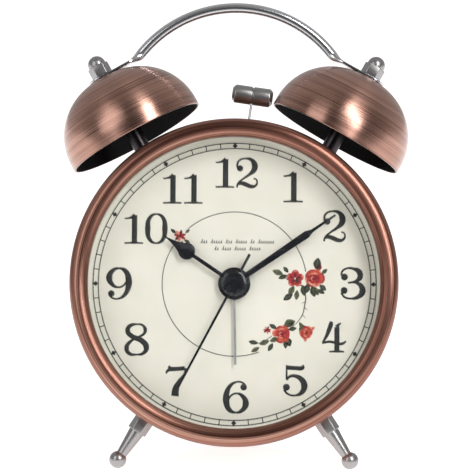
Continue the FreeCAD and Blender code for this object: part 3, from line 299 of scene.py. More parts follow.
def along_tilt(tilt, depth):
    """The placement of a turned piece: its y axis points up, tilted about the dial's axis."""
    lean = math.radians(tilt)
    axis = Vector((math.sin(lean), 0, math.cos(lean)))
    return Matrix.Translation((0, depth, 0)) @ axis.to_track_quat("Y", "Z").to_matrix().to_4x4()


def on_bell_line(side, reach):
    """The placement of a piece on a bell's own axis, at a reach above the bell's mouth."""
    tilt = math.radians(BELL_TILT)
    corner = Vector((side * (BELL_X + reach * math.sin(tilt)), 0, BELL_Z + reach * math.cos(tilt)))
    return Matrix.Translation(corner) @ along_tilt(side * BELL_TILT, BELL_Y)


crown_z = BELL_SKIRT + BELL_DOME_R
dome = arc((BELL_R - BELL_DOME_R, BELL_SKIRT), BELL_DOME_R, 0, 90, 40)
inner_dome = arc((BELL_R - BELL_DOME_R, BELL_SKIRT), BELL_DOME_R - BELL_WALL, 90, 0, 40)
bell_outline = [(BELL_R - 0.2, 0), (BELL_R, 0.2)] + dome
bell_outline += [(BELL_BORE_R, crown_z), (BELL_BORE_R, crown_z - BELL_WALL)] + inner_dome
bell_outline += [(BELL_R - BELL_WALL, 0.2), (BELL_R - BELL_WALL + 0.2, 0)]
# The bells have the drum's copper plate, but its colours are set lighter and greyer: painted sheen for the
# pale haze that their brushed domes reflect.
lit_copper_bells = antique_copper("antique_copper_bells_painted_sheen", True, "#AA8173", "#71544A", 0.22)
# The inside is coloured a matt near black.
near_black_inside = clouded("matt_near_black_inside", [(0.35, "#0B0A0C"), (0.65, "#17151A")], (1800.0, 3.0), 0.7,
                       grain=(1800.0, 3.0, 0.2, 0.00005))
for name, side in SIDES:
    shell = spin_outline(bell_outline)
    for face in shell.faces:
        middle = face.calc_center_median()
        outside = Vector((middle.x, 0, middle.z)).normalized() * (BELL_R - BELL_DOME_R)
        out_r = math.hypot((Vector((middle.x, 0, middle.z)) - outside).length, max(middle.y - BELL_SKIRT, 0))
        face.material_index = 1 if out_r < BELL_DOME_R - BELL_WALL * 0.8 else 0
    bell_piece = settle_mesh(shell, on_bell_line(side, 0), f"{name}_bell_shell", lit_copper_bells, "root",
                             [f"{name}_bell"])
    bell_piece.data.materials.append(near_black_inside)


# ---------------------------------------------------------------------------------------------
# Bell posts and cap nuts: turned steel with bright nickel plate. The post is screwed through the
# drum; the domed nut clamps the bell and the handle's end on it.
# ---------------------------------------------------------------------------------------------
def bright_metal(name, colour, gloss, grain_per_mm):
    """Nickel or chrome plate. The base is turned or drawn steel, so very fine lines run round it,
    drawn a little coarser than real ones so that they show."""
    material, tree, shader = start_material(name)
    place = add(tree, "ShaderNodeUVMap", uv_map="profile").outputs["UV"]
    mapped = add(tree, "ShaderNodeMapping", [("Vector", place)], scale=(0.02, grain_per_mm, 1))
    lines = add(tree, "ShaderNodeTexNoise", [("Vector", mapped.outputs["Vector"])],
                scale=1.0, detail=4.0).outputs["Fac"]
    dress(tree, shader, lines, (), gloss, 0.07, lines, (lines, 0.04, 0.00003))
    shader.inputs["Base Color"].default_value = linear(colour)
    shader.inputs["Metallic"].default_value = 1.0
    return material


def hexagon_prism(radius, low, high, bevel):
    """A six-sided prism along y, its edges chamfered as a nut's are."""
    shape = bmesh.new()
    bmesh.ops.create_circle(shape, cap_ends=True, radius=radius, segments=6,
                            matrix=Matrix.Translation((0, low, 0)) @ Matrix.Rotation(math.pi / 2, 4, "X"))
    raised = bmesh.ops.extrude_face_region(shape, geom=list(shape.faces))
    tops = [item for item in raised["geom"] if isinstance(item, bmesh.types.BMVert)]
    bmesh.ops.translate(shape, verts=tops, vec=(0, high - low, 0))
    bmesh.ops.bevel(shape, geom=list(shape.edges), offset=bevel, affect="EDGES", segments=3,
                    profile=0.5, material=-1)
    bmesh.ops.recalc_face_normals(shape, faces=shape.faces)
    map_profile(shape)
    return shape


def joined(first, second):
    """Two bmeshes as one, for a piece turned from one bar."""
    carried = bpy.data.meshes.new("carried")
    second.to_mesh(carried)
    second.free()
    first.from_mesh(carried)
    bpy.data.meshes.remove(carried)
    return first


def spin_bar(outline, steps=64, softness=0.2):
    """A solid bar of outline (radius, depth), turned about y, with closed poles."""
    return spin_outline(soften(outline, softness, False), closed=False, steps=steps)


nickel = bright_metal("nickel_plated_turned_steel", "#9F9D9D", 0.30, 5.0)
# The posts have the same nickel plate, but in a near-black colour: painted reflection of the dark bell
# insides round them.
shaded_nickel = bright_metal("nickel_turned_steel_painted_shade", "#3D393B", 0.24, 5.0)
POST_R, POST_BASE, POST_INSIDE, POST_THREAD_R = 3.0, 57.6, 51.5, 1.95
PLATE_THICK = 1.0
CAPNUT_R, CAPNUT_HEX, CAPNUT_DOME_R, CAPNUT_TALL, CAPNUT_BORE = 4.0, 4.2, 3.25, 7.9, 5.0
for name, side in SIDES:
    nut_dome = arc((0, CAPNUT_TALL - CAPNUT_DOME_R), CAPNUT_DOME_R, 0, 90, 14)
    dome_part = spin_outline([(0, 0.2), (CAPNUT_DOME_R, 0.2)] + nut_dome, closed=False, steps=64)
    nut = joined(dome_part, hexagon_prism(CAPNUT_R, 0, CAPNUT_HEX, 0.28))
    settle_mesh(nut, on_bell_line(side, crown_z + PLATE_THICK), f"{name}_domed_nut", nickel, "root",
                [f"{name}_cap_nut"], 30)
    mouth_lift = BELL_X * math.sin(math.radians(BELL_TILT)) + BELL_Z * math.cos(math.radians(BELL_TILT))
    thread_low, shoulder = POST_INSIDE - mouth_lift, POST_BASE - mouth_lift
    thread_top = crown_z + PLATE_THICK + CAPNUT_BORE - 0.4
    post = spin_bar([(0, thread_low), (POST_THREAD_R, thread_low), (POST_THREAD_R, shoulder),
                     (POST_R, shoulder), (POST_R, crown_z - BELL_WALL),
                     (POST_THREAD_R, crown_z - BELL_WALL), (POST_THREAD_R, thread_top),
                     (0, thread_top)])
    # The post's near-black colour is painted reflection of the dark bell inside.
    settle_mesh(post, on_bell_line(side, 0), f"{name}_turned_post", shaded_nickel, "root",
                [f"{name}_bell_post"])


# ---------------------------------------------------------------------------------------------
# Handle: a round steel bar bent to an arch over the bells and chrome plated. Its two ends are
# pressed flat and bored, and lie under the domed nuts.
# ---------------------------------------------------------------------------------------------
HANDLE_ARC_R, HANDLE_APEX, HANDLE_BAR_R, HANDLE_HALF_TURN = 44.0, 101.7, 1.9, 52.0
PLATE_WIDE, PLATE_INNER, PLATE_OUTER = 8.4, 10.4, 6.0


def superellipse(half_wide, half_tall, power, count=32):
    """An outline between an ellipse (power 2) and a rounded rectangle (higher power)."""
    points = []
    for step in range(count):
        turn = 2 * math.pi * step / count
        c, s = math.cos(turn), math.sin(turn)
        points.append((math.copysign(abs(c) ** (2 / power), c) * half_wide,
                       math.copysign(abs(s) ** (2 / power), s) * half_tall))
    return points


def ring_at(shape, outline, place):
    """A loop of edges of the outline, put at a place: its own x and y across, z along."""
    spots = [shape.verts.new(place @ Vector((x, y, 0))) for x, y in outline]
    return [shape.edges.new(pair) for pair in zip(spots, spots[1:] + spots[:1])]


def section_place(point, heading):
    """A cross section's placement: across the clock's depth, and square to its heading."""
    across = Vector((0, 1, 0))
    upward = heading.cross(across).normalized()
    return Matrix.Translation(point) @ Matrix((across, upward, heading.normalized())).transposed().to_4x4()


def bore_through(piece, radius, place, depth):
    """Cuts a round bore through a finished mesh, as a drill does."""
    drill = bmesh.new()
    bmesh.ops.create_cone(drill, cap_ends=True, segments=48, radius1=radius, radius2=radius,
                          depth=depth, matrix=place @ Matrix.Rotation(-math.pi / 2, 4, "X"))
    cutter_mesh = bpy.data.meshes.new("drill")
    drill.to_mesh(cutter_mesh)
    drill.free()
    cutter = bpy.data.objects.new("drill", cutter_mesh)
    bpy.context.collection.objects.link(cutter)
    cut = piece.modifiers.new("bore", "BOOLEAN")
    cut.object, cut.operation, cut.solver = cutter, "DIFFERENCE", "EXACT"
    graph = bpy.context.evaluated_depsgraph_get()
    bored = bpy.data.meshes.new_from_object(piece.evaluated_get(graph))
    piece.modifiers.clear()
    piece.data = bored
    bpy.data.objects.remove(cutter)


handle_middle = Vector((0, BELL_Y, HANDLE_APEX - HANDLE_ARC_R))
tilt = math.radians(BELL_TILT)
half_turn = math.radians(HANDLE_HALF_TURN)
sections = []
bar_steps = 48
for step in range(bar_steps + 1):
    turn = half_turn * step / bar_steps
    point = handle_middle + Vector((math.sin(turn), 0, math.cos(turn))) * HANDLE_ARC_R
    heading = Vector((math.cos(turn), 0, -math.sin(turn)))
    sections.append((superellipse(HANDLE_BAR_R, HANDLE_BAR_R, 2), section_place(point, heading)))
bell_up = Vector((math.sin(tilt), 0, math.cos(tilt)))
outward = Vector((math.cos(tilt), 0, -math.sin(tilt)))
bell_top = Vector((BELL_X, BELL_Y, BELL_Z)) + bell_up * (crown_z + PLATE_THICK / 2)
plate_start = bell_top - outward * PLATE_INNER
bar_end, bar_heading = sections[-1][1].translation, Vector((math.cos(half_turn), 0, -math.sin(half_turn)))
for step in range(1, 9):
    t = step / 8
    ease = t * t * (3 - 2 * t)
    reach = (plate_start - bar_end).length
    point = (bar_end * (1 - t) ** 3 + (bar_end + bar_heading * reach * 0.35) * 3 * t * (1 - t) ** 2
             + (plate_start - outward * reach * 0.35) * 3 * t * t * (1 - t) + plate_start * t ** 3)
    heading = bar_heading.lerp(outward, ease)
    outline = superellipse(HANDLE_BAR_R + (PLATE_WIDE / 2 - HANDLE_BAR_R) * ease,
                           HANDLE_BAR_R + (PLATE_THICK / 2 - HANDLE_BAR_R) * ease, 2 + 3 * ease)
    sections.append((outline, section_place(point, heading)))
plate_long = PLATE_INNER + PLATE_OUTER
for step in range(1, 13):
    run = plate_long * math.sin(math.pi / 2 * step / 12)
    past = max(run - (plate_long - PLATE_WIDE / 2), 0) / (PLATE_WIDE / 2)
    wide = max(PLATE_WIDE / 2 * math.sqrt(max(1 - past ** 2, 0)), 0.25)
    sections.append((superellipse(wide, PLATE_THICK / 2, 5),
                     section_place(plate_start + outward * run, outward)))
arch = bmesh.new()
rings = [[arch.verts.new(place @ Vector((x, y, 0))) for x, y in outline] for outline, place in sections]
for first, second in zip(rings, rings[1:]):
    for number in range(len(first)):
        arch.faces.new((first[number - 1], first[number], second[number], second[number - 1]))
arch.faces.new(rings[-1])
bmesh.ops.mirror(arch, geom=list(arch.verts) + list(arch.edges) + list(arch.faces), axis="X",
                 merge_dist=0.01)
bmesh.ops.remove_doubles(arch, verts=arch.verts, dist=0.001)
inner_faces = [face for face in arch.faces if all(abs(v.co.x) < 0.01 for v in face.verts)]
bmesh.ops.delete(arch, geom=inner_faces, context="FACES")
bmesh.ops.recalc_face_normals(arch, faces=arch.faces)
map_profile(arch)
chrome = bright_metal("chrome_plated_bar", "#CFD0D3", 0.17, 3.0)
handle_bar = settle_mesh(arch, HERE, "arched_handle", chrome, "root", ["handle"], 35)
for name, side in SIDES:
    nut_seat = STANDING @ on_bell_line(side, crown_z + PLATE_THICK / 2)
    bore_through(handle_bar, BELL_BORE_R, nut_seat, 4 * PLATE_THICK)


# ---------------------------------------------------------------------------------------------
# Hammer: a turned steel head with a groove round its middle, on a spring-steel wire that comes
# through the slot in the drum's top. Its slotted lever and drive are inside.
# ---------------------------------------------------------------------------------------------
PIVOT_Z, HAMMER_LEAN, HAMMER_REACH = 28.0, 8.2, 41.9
HEAD_R, HEAD_LONG, HEAD_CHAMFER, GROOVE_R, GROOVE_HALF = 3.35, 14.8, 1.1, 3.0, 0.3
ROD_R, LEVER_END = 0.4, 17.0
hammer_swing = Matrix.Translation((0, 0, PIVOT_Z)) @ along_tilt(HAMMER_LEAN, BELL_Y)
half_head = HEAD_LONG / 2
head = spin_bar([(0, -half_head), (HEAD_R - HEAD_CHAMFER, -half_head), (HEAD_R, HEAD_CHAMFER - half_head),
                 (HEAD_R, -GROOVE_HALF), (GROOVE_R, -GROOVE_HALF), (GROOVE_R, GROOVE_HALF),
                 (HEAD_R, GROOVE_HALF), (HEAD_R, half_head - HEAD_CHAMFER),
                 (HEAD_R - HEAD_CHAMFER, half_head), (0, half_head)], 72, 0.25)
head_middle = hammer_swing @ Matrix.Translation((0, HAMMER_REACH, 0))
crosswise = Matrix.Translation(head_middle.translation) @ along_tilt(HAMMER_LEAN + 90, 0)
settle_mesh(head, crosswise, "turned_hammer_head", nickel, "hammer", ["hammer_head"],
            35)
rod = spin_bar([(0, LEVER_END), (ROD_R, LEVER_END), (ROD_R, HAMMER_REACH - HEAD_R + 0.1),
                (0, HAMMER_REACH - HEAD_R + 0.1)], 24, 0.05)
settle_mesh(rod, hammer_swing, "hammer_wire", nickel, "hammer", ["hammer_rod"])


# ---------------------------------------------------------------------------------------------
# Feet: each is turned from hexagonal bar, with a collar for the spanner, a taper and a ball that
# stands on the table, and is nickel plated like the posts.
# ---------------------------------------------------------------------------------------------
FOOT_ANGLE, FOOT_Y, FOOT_BALL_R, FOOT_BALL_PLACE = 33.5, 18.8, 3.1, 75.35
FOOT_HEX_R, FOOT_HEX_END, FOOT_CONE_R, FOOT_NECK_R, FOOT_BASE = 3.65, 63.4, 2.8, 1.9, 57.6
FOOT_INSIDE, FOOT_THREAD_R = 52.4, 1.95
for name, side in SIDES:
    neck_turn = math.degrees(math.asin(FOOT_NECK_R / FOOT_BALL_R))
    ball = arc((0, FOOT_BALL_PLACE), FOOT_BALL_R, neck_turn - 90, 90, 24)
    outline = [(0, FOOT_INSIDE), (FOOT_THREAD_R, FOOT_INSIDE), (FOOT_THREAD_R, FOOT_BASE + 0.1),
               (FOOT_CONE_R, FOOT_BASE + 0.1), (FOOT_CONE_R, FOOT_HEX_END + 0.3)] + ball
    turned = spin_outline(outline, closed=False, steps=64)
    foot = joined(turned, hexagon_prism(FOOT_HEX_R, FOOT_BASE, FOOT_HEX_END, 0.3))
    settle_mesh(foot, along_tilt(side * (180 - FOOT_ANGLE), FOOT_Y), f"{name}_turned_foot", nickel,
                "root", [f"{name}_foot"], 30)


# ---------------------------------------------------------------------------------------------
# Dial: a steel disc with a printed cream card, behind a cream moulded ring that slopes in to it.
# The minute track and the numerals are printed in one dark ink that stands a hair off the card.
# ---------------------------------------------------------------------------------------------
DIAL_FRONT, PRINT_HIGH = 13.0, 0.03


def printed_card(name, colour, shade, gloss):
    """Smooth printed card or moulded cream plastic, with a very faint cloud in its tone."""
    return clouded(name, [(0.35, shade), (0.65, colour)], (90.0, 6.0), gloss,
                   grain=(2500.0, 2.0, 0.06, 0.00003))


dial_card = printed_card("printed_cream_card", "#E9E6D9", "#E3E0D2", 0.55)
paint(["dial_plate"], dial_card)
paint(["dial_seat_ring"], dial_card)
# The ring's cream is cooler and darker than the dial's card: partly the moulding's own tone, partly painted
# shade for the shadow under the bezel's lip.
ring_card_with_shade = printed_card("cream_moulded_ring_with_painted_shade", "#D9DAD3", "#D2D3CB", 0.42)
REFLECTOR_R, REFLECTOR_FRONT_R, REFLECTOR_DIAL_R, REFLECTOR_FRONT = 56.2, 53.2, 52.4, 7.0
reflector_outline = soften([(REFLECTOR_FRONT_R, REFLECTOR_FRONT), (REFLECTOR_DIAL_R, DIAL_FRONT - 0.1),
                            (REFLECTOR_R, DIAL_FRONT - 0.1), (REFLECTOR_R, REFLECTOR_FRONT)], 0.15)
settle_mesh(spin_outline(reflector_outline), HERE, "reflector_ring", ring_card_with_shade, "root",
            ["dial_reflector"])


def printing_ink(name, colour, shade):
    """Screen-printed ink: matt, a little uneven where it is thin."""
    return clouded(name, [(0.4, colour), (0.65, shade)], (900.0, 3.0), 0.6)


def print_on_dial(shape, name, ink):
    """Lays a flat print of (x, z) on the dial's face."""
    mesh = shape
    if isinstance(shape, bmesh.types.BMesh):
        mesh = bpy.data.meshes.new(name)
        shape.to_mesh(mesh)
        shape.free()
    laid = Matrix.Translation((0, DIAL_FRONT, 0)) @ Matrix.Rotation(math.pi / 2, 4, "X")
    return settle(mesh, laid, name, ink, "root", sharp=180)


PRESSED_FLAT = 0.12


def pen_strokes(strokes):
    """Strokes of (x, y, half width) points drawn with a broad pen, pressed flat as print is."""
    curve = bpy.data.curves.new("pen", "CURVE")
    curve.dimensions, curve.fill_mode, curve.bevel_depth = "3D", "FULL", 1.0
    curve.resolution_u, curve.bevel_resolution, curve.use_fill_caps = 6, 1, True
    for closed, points in strokes:
        spline = curve.splines.new("BEZIER")
        spline.bezier_points.add(len(points) - 1)
        spline.use_cyclic_u = closed
        for knot, (x, y, half) in zip(spline.bezier_points, points):
            knot.co, knot.radius = (x, y, 0), half
            knot.handle_left_type = knot.handle_right_type = "AUTO"
    pen = bpy.data.objects.new("pen", curve)
    mesh = bpy.data.meshes.new_from_object(pen)
    bpy.data.objects.remove(pen)
    bpy.data.curves.remove(curve)
    mesh.materials.clear()
    mesh.transform(Matrix.Scale(PRESSED_FLAT, 4, (0, 0, 1)))
    return mesh


# Digits drawn as pen strokes in a box one unit tall: width, then strokes of (x, y, half width).
ROUND_SIX = [(0.70, .86, .022), (.58, .97, .018), (.40, .985, .018), (.20, .86, .045), (.085, .60, .075),
             (.075, .38, .085), (.18, .10, .06), (.38, .012, .018), (.58, .08, .05), (.70, .30, .085),
             (.60, .53, .05), (.42, .62, .018), (.24, .56, .02), (.13, .40, .02)]
DIGITS = {
    "0": (0.75, [(True, [(.375, .985, .015), (.17, .88, .045), (.09, .5, .075), (.17, .12, .045),
                         (.375, .015, .015), (.58, .12, .045), (.66, .5, .075), (.58, .88, .045)])]),
    "1": (0.64, [(False, [(.35, .02, .072), (.35, .5, .072), (.35, .95, .072)]),
                 (False, [(.02, .835, .013), (.16, .85, .018), (.27, .885, .035), (.36, .95, .05)]),
                 (False, [(.02, .016, .015), (.2, .022, .018), (.35, .03, .03), (.5, .022, .018),
                          (.64, .016, .015)])]),
    "2": (0.72, [(False, [(.06, .66, .03), (.04, .76, .022), (.10, .90, .02), (.30, .97, .018),
                          (.50, .93, .045), (.615, .76, .082), (.60, .60, .075), (.45, .44, .035),
                          (.22, .28, .018), (.06, .13, .016), (.03, 0, .02)]),
                 (False, [(.05, .10, .018), (.17, .145, .05), (.33, .10, .058), (.50, .035, .05),
                          (.64, .06, .03), (.70, .17, .016), (.66, .28, .014), (.58, .30, .014)])]),
    "3": (0.75, [(False, [(.03, .75, .02), (.06, .88, .02), (.20, .975, .018), (.40, .97, .03),
                          (.60, .86, .075), (.62, .68, .07), (.48, .56, .03), (.24, .515, .015)]),
                 (False, [(.24, .515, .015), (.50, .52, .03), (.68, .38, .07), (.70, .22, .085),
                          (.56, .06, .05), (.34, .01, .02), (.12, .07, .02), (.03, .20, .022)])]),
    "4": (0.80, [(False, [(.30, .985, .03), (.30, .90, .055), (.24, .72, .055), (.14, .48, .035),
                          (.03, .30, .016)]),
                 (False, [(.02, .29, .022), (.25, .335, .028), (.45, .30, .03), (.60, .265, .032),
                          (.70, .29, .028), (.78, .36, .012)]),
                 (False, [(.49, .80, .065), (.49, .4, .065), (.49, .02, .065)]),
                 (False, [(.62, .935, .008), (.54, .875, .03), (.485, .80, .06)]),
                 (False, [(.24, .016, .015), (.40, .025, .02), (.49, .03, .03), (.60, .025, .02),
                          (.72, .016, .015)])]),
    "5": (0.75, [(False, [(.125, .98, .014), (.125, .52, .018)]),
                 (False, [(.125, .90, .055), (.40, .885, .05), (.63, .90, .055), (.66, .99, .008)]),
                 (False, [(.125, .50, .014), (.22, .61, .03), (.40, .63, .04), (.60, .52, .07),
                          (.69, .33, .085), (.62, .12, .06), (.42, .015, .02), (.18, .05, .02),
                          (.04, .19, .022)])]),
    "6": (0.78, [(False, ROUND_SIX)]),
    "7": (0.68, [(False, [(.13, .985, .01), (.12, .90, .04)]),
                 (False, [(.10, .87, .06), (.35, .875, .05), (.62, .90, .05)]),
                 (False, [(.02, .72, .008), (.06, .80, .03), (.14, .87, .04)]),
                 (False, [(.66, .90, .02), (.60, .70, .022), (.45, .48, .05), (.34, .25, .085),
                          (.31, .01, .10)])]),
    "8": (0.79, [(True, [(.40, .985, .015), (.16, .92, .05), (.10, .76, .06), (.24, .60, .06),
                         (.55, .46, .07), (.70, .26, .075), (.62, .07, .04), (.40, .015, .015),
                         (.14, .06, .045), (.07, .24, .06), (.18, .42, .035), (.40, .56, .015),
                         (.62, .68, .03), (.66, .82, .045), (.58, .95, .025)])]),
    "9": (0.78, [(False, [(.78 - x, 1 - y, half) for x, y, half in ROUND_SIX])]),
}
# The round ends of the digits' thin strokes: (x, y, radius).
DIGIT_BALLS = {"2": [(.13, .64, .085)], "3": [(.13, .70, .09), (.12, .27, .09)], "5": [(.12, .27, .09)],
               "6": [(.63, .82, .085)], "9": [(.15, .18, .085)]}
# Each number's place on the dial, in millimetres, and its digits' height.
NUMBERS = {"12": (.5, 40.1, 10.8), "1": (20.8, 35.1, 11.2), "2": (35.7, 21.0, 11.2), "3": (42.1, .4, 11.2),
           "4": (35.7, -18.7, 11.2), "5": (21.6, -34.3, 11.2), "6": (.8, -40.5, 11.2),
           "7": (-20.7, -34.7, 11.2), "8": (-34.8, -20.0, 11.2), "9": (-41.4, 0, 11.2),
           "10": (-31.9, 19.8, 10.8), "11": (-18.8, 34.3, 10.8)}
DIGIT_GAP = 0.06
# The pen presses a little wider than drawn, so that the thinnest strokes still show.
PEN_SPREAD, PEN_LEAST = 1.10, 0.011

dark_ink = printing_ink("dark_grey_green_ink", "#1C1F1E", "#272A28")
for number, (middle_x, middle_z, tall) in NUMBERS.items():
    wide = sum(DIGITS[digit][0] for digit in number) + DIGIT_GAP * (len(number) - 1)
    pen_x, strokes = -wide / 2, []
    for digit in number:
        digit_wide, drawn = DIGITS[digit]
        drawn = drawn + [(True, [(x + radius * 0.5 * right, y + radius * 0.5 * up, radius * 0.55)
                                 for right, up in ((1, 0), (0, 1), (-1, 0), (0, -1))])
                         for x, y, radius in DIGIT_BALLS.get(digit, [])]
        strokes += [(closed, [(middle_x + (pen_x + x) * tall, middle_z + (y - 0.5) * tall,
                               (half * PEN_SPREAD + PEN_LEAST) * tall) for x, y, half in points])
                    for closed, points in drawn]
        pen_x += digit_wide + DIGIT_GAP
    print_on_dial(pen_strokes(strokes), f"numeral_{number}", dark_ink)

# The minute track: two thin circles, a tick for each minute and a small diamond for each hour.
TRACK_OUTER_R, TRACK_INNER_R, TRACK_LINE, TICK_LINE, DIAMOND = 50.7, 48.8, 0.40, 0.34, 0.95
for name, radius in (("outer", TRACK_OUTER_R), ("inner", TRACK_INNER_R)):
    near, far = radius - TRACK_LINE / 2, radius + TRACK_LINE / 2
    line = [(near, DIAL_FRONT - PRINT_HIGH), (far, DIAL_FRONT - PRINT_HIGH), (far, DIAL_FRONT),
            (near, DIAL_FRONT)]
    settle_mesh(spin_outline(line), HERE, f"track_{name}_circle", dark_ink, "root")
ticks = bmesh.new()
for minute in range(60):
    turn = Matrix.Rotation(-2 * math.pi * minute / 60, 4, "Z")
    middle = Matrix.Translation((0, (TRACK_OUTER_R + TRACK_INNER_R) / 2, 0))
    if minute % 5:
        bmesh.ops.create_cube(ticks, size=1, matrix=turn @ middle @ Matrix.Diagonal(
            (TICK_LINE, TRACK_OUTER_R - TRACK_INNER_R, 2 * PRINT_HIGH, 1)))
    else:
        bmesh.ops.create_cone(ticks, cap_ends=True, segments=4, radius1=DIAMOND, radius2=DIAMOND,
                              depth=2.5 * PRINT_HIGH, matrix=turn @ middle)
print_on_dial(ticks, "track_ticks", dark_ink)

# The thin inner circle, which is left open where the flowers are: (first, last) angle from twelve.
INNER_CIRCLE_R, INNER_LINE = 25.9, 0.30
for number, (first, last) in enumerate(((160, 302), (320, 440))):
    arc_print = bmesh.new()
    corners = [(INNER_CIRCLE_R - INNER_LINE / 2, 0, 0), (INNER_CIRCLE_R + INNER_LINE / 2, 0, 0)]
    spots = [arc_print.verts.new(Matrix.Rotation(math.radians(90 - first), 4, "Z") @ Vector(corner))
             for corner in corners]
    bmesh.ops.spin(arc_print, geom=spots + [arc_print.edges.new(spots)], cent=(0, 0, 0), axis=(0, 0, -1),
                   angle=math.radians(last - first), steps=60)
    raised = bmesh.ops.extrude_face_region(arc_print, geom=list(arc_print.faces))
    bmesh.ops.translate(arc_print, vec=(0, 0, PRINT_HIGH),
                        verts=[v for v in raised["geom"] if isinstance(v, bmesh.types.BMVert)])
    bmesh.ops.recalc_face_normals(arc_print, faces=arc_print.faces)
    print_on_dial(arc_print, f"inner_circle_{number}", dark_ink)

# A small flourish over the dial's middle: two rows of slanted loops that spell nothing. Each row
# is its height, its left end and the loops in each run.
FLOURISH_ROWS = ((14.6, -12.4, (3, 5, 3, 5, 2, 7)), (12.1, -7.5, (2, 4, 5, 5)))
LOOP_WIDE, RUN_GAP, LOOP_TALL = 0.85, 1.05, 0.95
scrolls = []
for height, pen_at, runs in FLOURISH_ROWS:
    for loops in runs:
        row = []
        for step in range(loops * 8 + 1):
            phase = 2 * math.pi * step / 8
            up = LOOP_TALL * (1.5 if step < 8 else 1.0) * (1 - math.cos(phase)) / 2
            row.append((pen_at + LOOP_WIDE * step / 8 + 0.35 * up + 0.16 * math.sin(phase), height + up,
                        0.07 + 0.11 * max(-math.sin(phase), 0)))
        scrolls.append((False, row))
        pen_at += loops * LOOP_WIDE + RUN_GAP
print_on_dial(pen_strokes(scrolls), "flourish", dark_ink)


# ---------------------------------------------------------------------------------------------
# Flowers printed on the dial: overlapping flat petals and leaves in several inks, laid one on
# another from the back to the front, as the printing screens do.
# ---------------------------------------------------------------------------------------------
INKS = {"dark_crimson": ("#5E0F1C", "#7E1A24"), "rose_red": ("#9E2129", "#B83532"),
        "orange_red": ("#B83C2C", "#CC5A3F"), "salmon": ("#D2735C", "#E29A82"),
        "olive_leaf": ("#464A36", "#646748"), "dark_leaf": ("#23281E", "#3A4030")}
printed_shapes = {ink: bmesh.new() for ink in INKS}
random.seed(5)


def petal(ink, x, z, long, wide, turn, layer, pointed=2.0):
    """One flat petal or leaf; a lower power makes its ends pointed."""
    shape = printed_shapes[ink]
    place = Matrix.Translation((x, z, layer * PRINT_HIGH)) @ Matrix.Rotation(math.radians(turn), 4, "Z")
    edges = ring_at(shape, superellipse(long / 2, wide / 2, pointed, 18), place)
    bmesh.ops.contextual_create(shape, geom=edges)


def rose(x, z, radius, outer, middle, light, heart):
    """A full-blown rose: an outer and an inner ring of petals with lighter lips round a dark heart."""
    for ring, (count, out, size_) in enumerate(((6, 0.60, 0.95), (5, 0.34, 0.72), (3, 0.14, 0.46))):
        for number in range(count):
            turn = 360 / count * number + ring * 31 + random.uniform(-12, 12)
            way = Vector((math.cos(math.radians(turn)), math.sin(math.radians(turn))))
            spot = Vector((x, z)) + way * radius * out * random.uniform(0.80, 1.18)
            long = radius * size_ * random.uniform(0.80, 1.20)
            wide = radius * size_ * random.uniform(0.62, 0.86)
            layer = 1 + ring * 4
            petal(light if number % 2 else middle, spot.x, spot.y, long, wide, turn + 90, layer)
            inner = spot - way * radius * 0.12
            petal((outer, middle, outer)[ring], inner.x, inner.y, long * 0.84, wide * 0.80, turn + 90,
                  layer + 1)
    petal(heart, x, z, radius * 0.42, radius * 0.34, 20, 14)
    petal(middle, x - radius * 0.06, z + radius * 0.08, radius * 0.20, radius * 0.12, 40, 15)


for number, turn in enumerate((15, 88, 160, 232, 304)):
    way = Vector((math.cos(math.radians(turn)), math.sin(math.radians(turn))))
    petal("rose_red", 21.7 + 1.7 * way.x, 2.0 + 1.7 * way.y, 2.9, 2.7, turn, 3 + 2 * (number % 2))
    petal("dark_crimson", 21.7 + 1.2 * way.x, 2.0 + 1.2 * way.y, 1.9, 1.1, turn, 4 + 2 * (number % 2), 1.5)
    petal("salmon", 21.7 + 2.7 * way.x, 2.0 + 2.7 * way.y, 0.35, 1.6, turn, 8)
petal("dark_leaf", 22.3, 1.3, 2.0, 1.0, 70, 9)
rose(28.5, 2.0, 3.7, "orange_red", "rose_red", "salmon", "dark_crimson")
rose(17.2, -17.8, 3.4, "orange_red", "rose_red", "salmon", "dark_crimson")
rose(25.8, -17.3, 2.5, "rose_red", "orange_red", "salmon", "dark_crimson")
for x, z, reach in ((11.8, -16.5, 0.75), (-19.6, 17.2, 1.15)):
    for number in range(7):
        turn = math.radians(360 / 7 * number + random.uniform(0, 25))
        ink = ("rose_red", "dark_crimson", "salmon")[number % 3]
        petal(ink, x + reach * math.cos(turn), z + reach * math.sin(turn), reach * 2.0,
              reach * 0.95, math.degrees(turn), 3, 1.4)
    petal("dark_crimson", x, z, 1.1, 1.0, 0, 5)
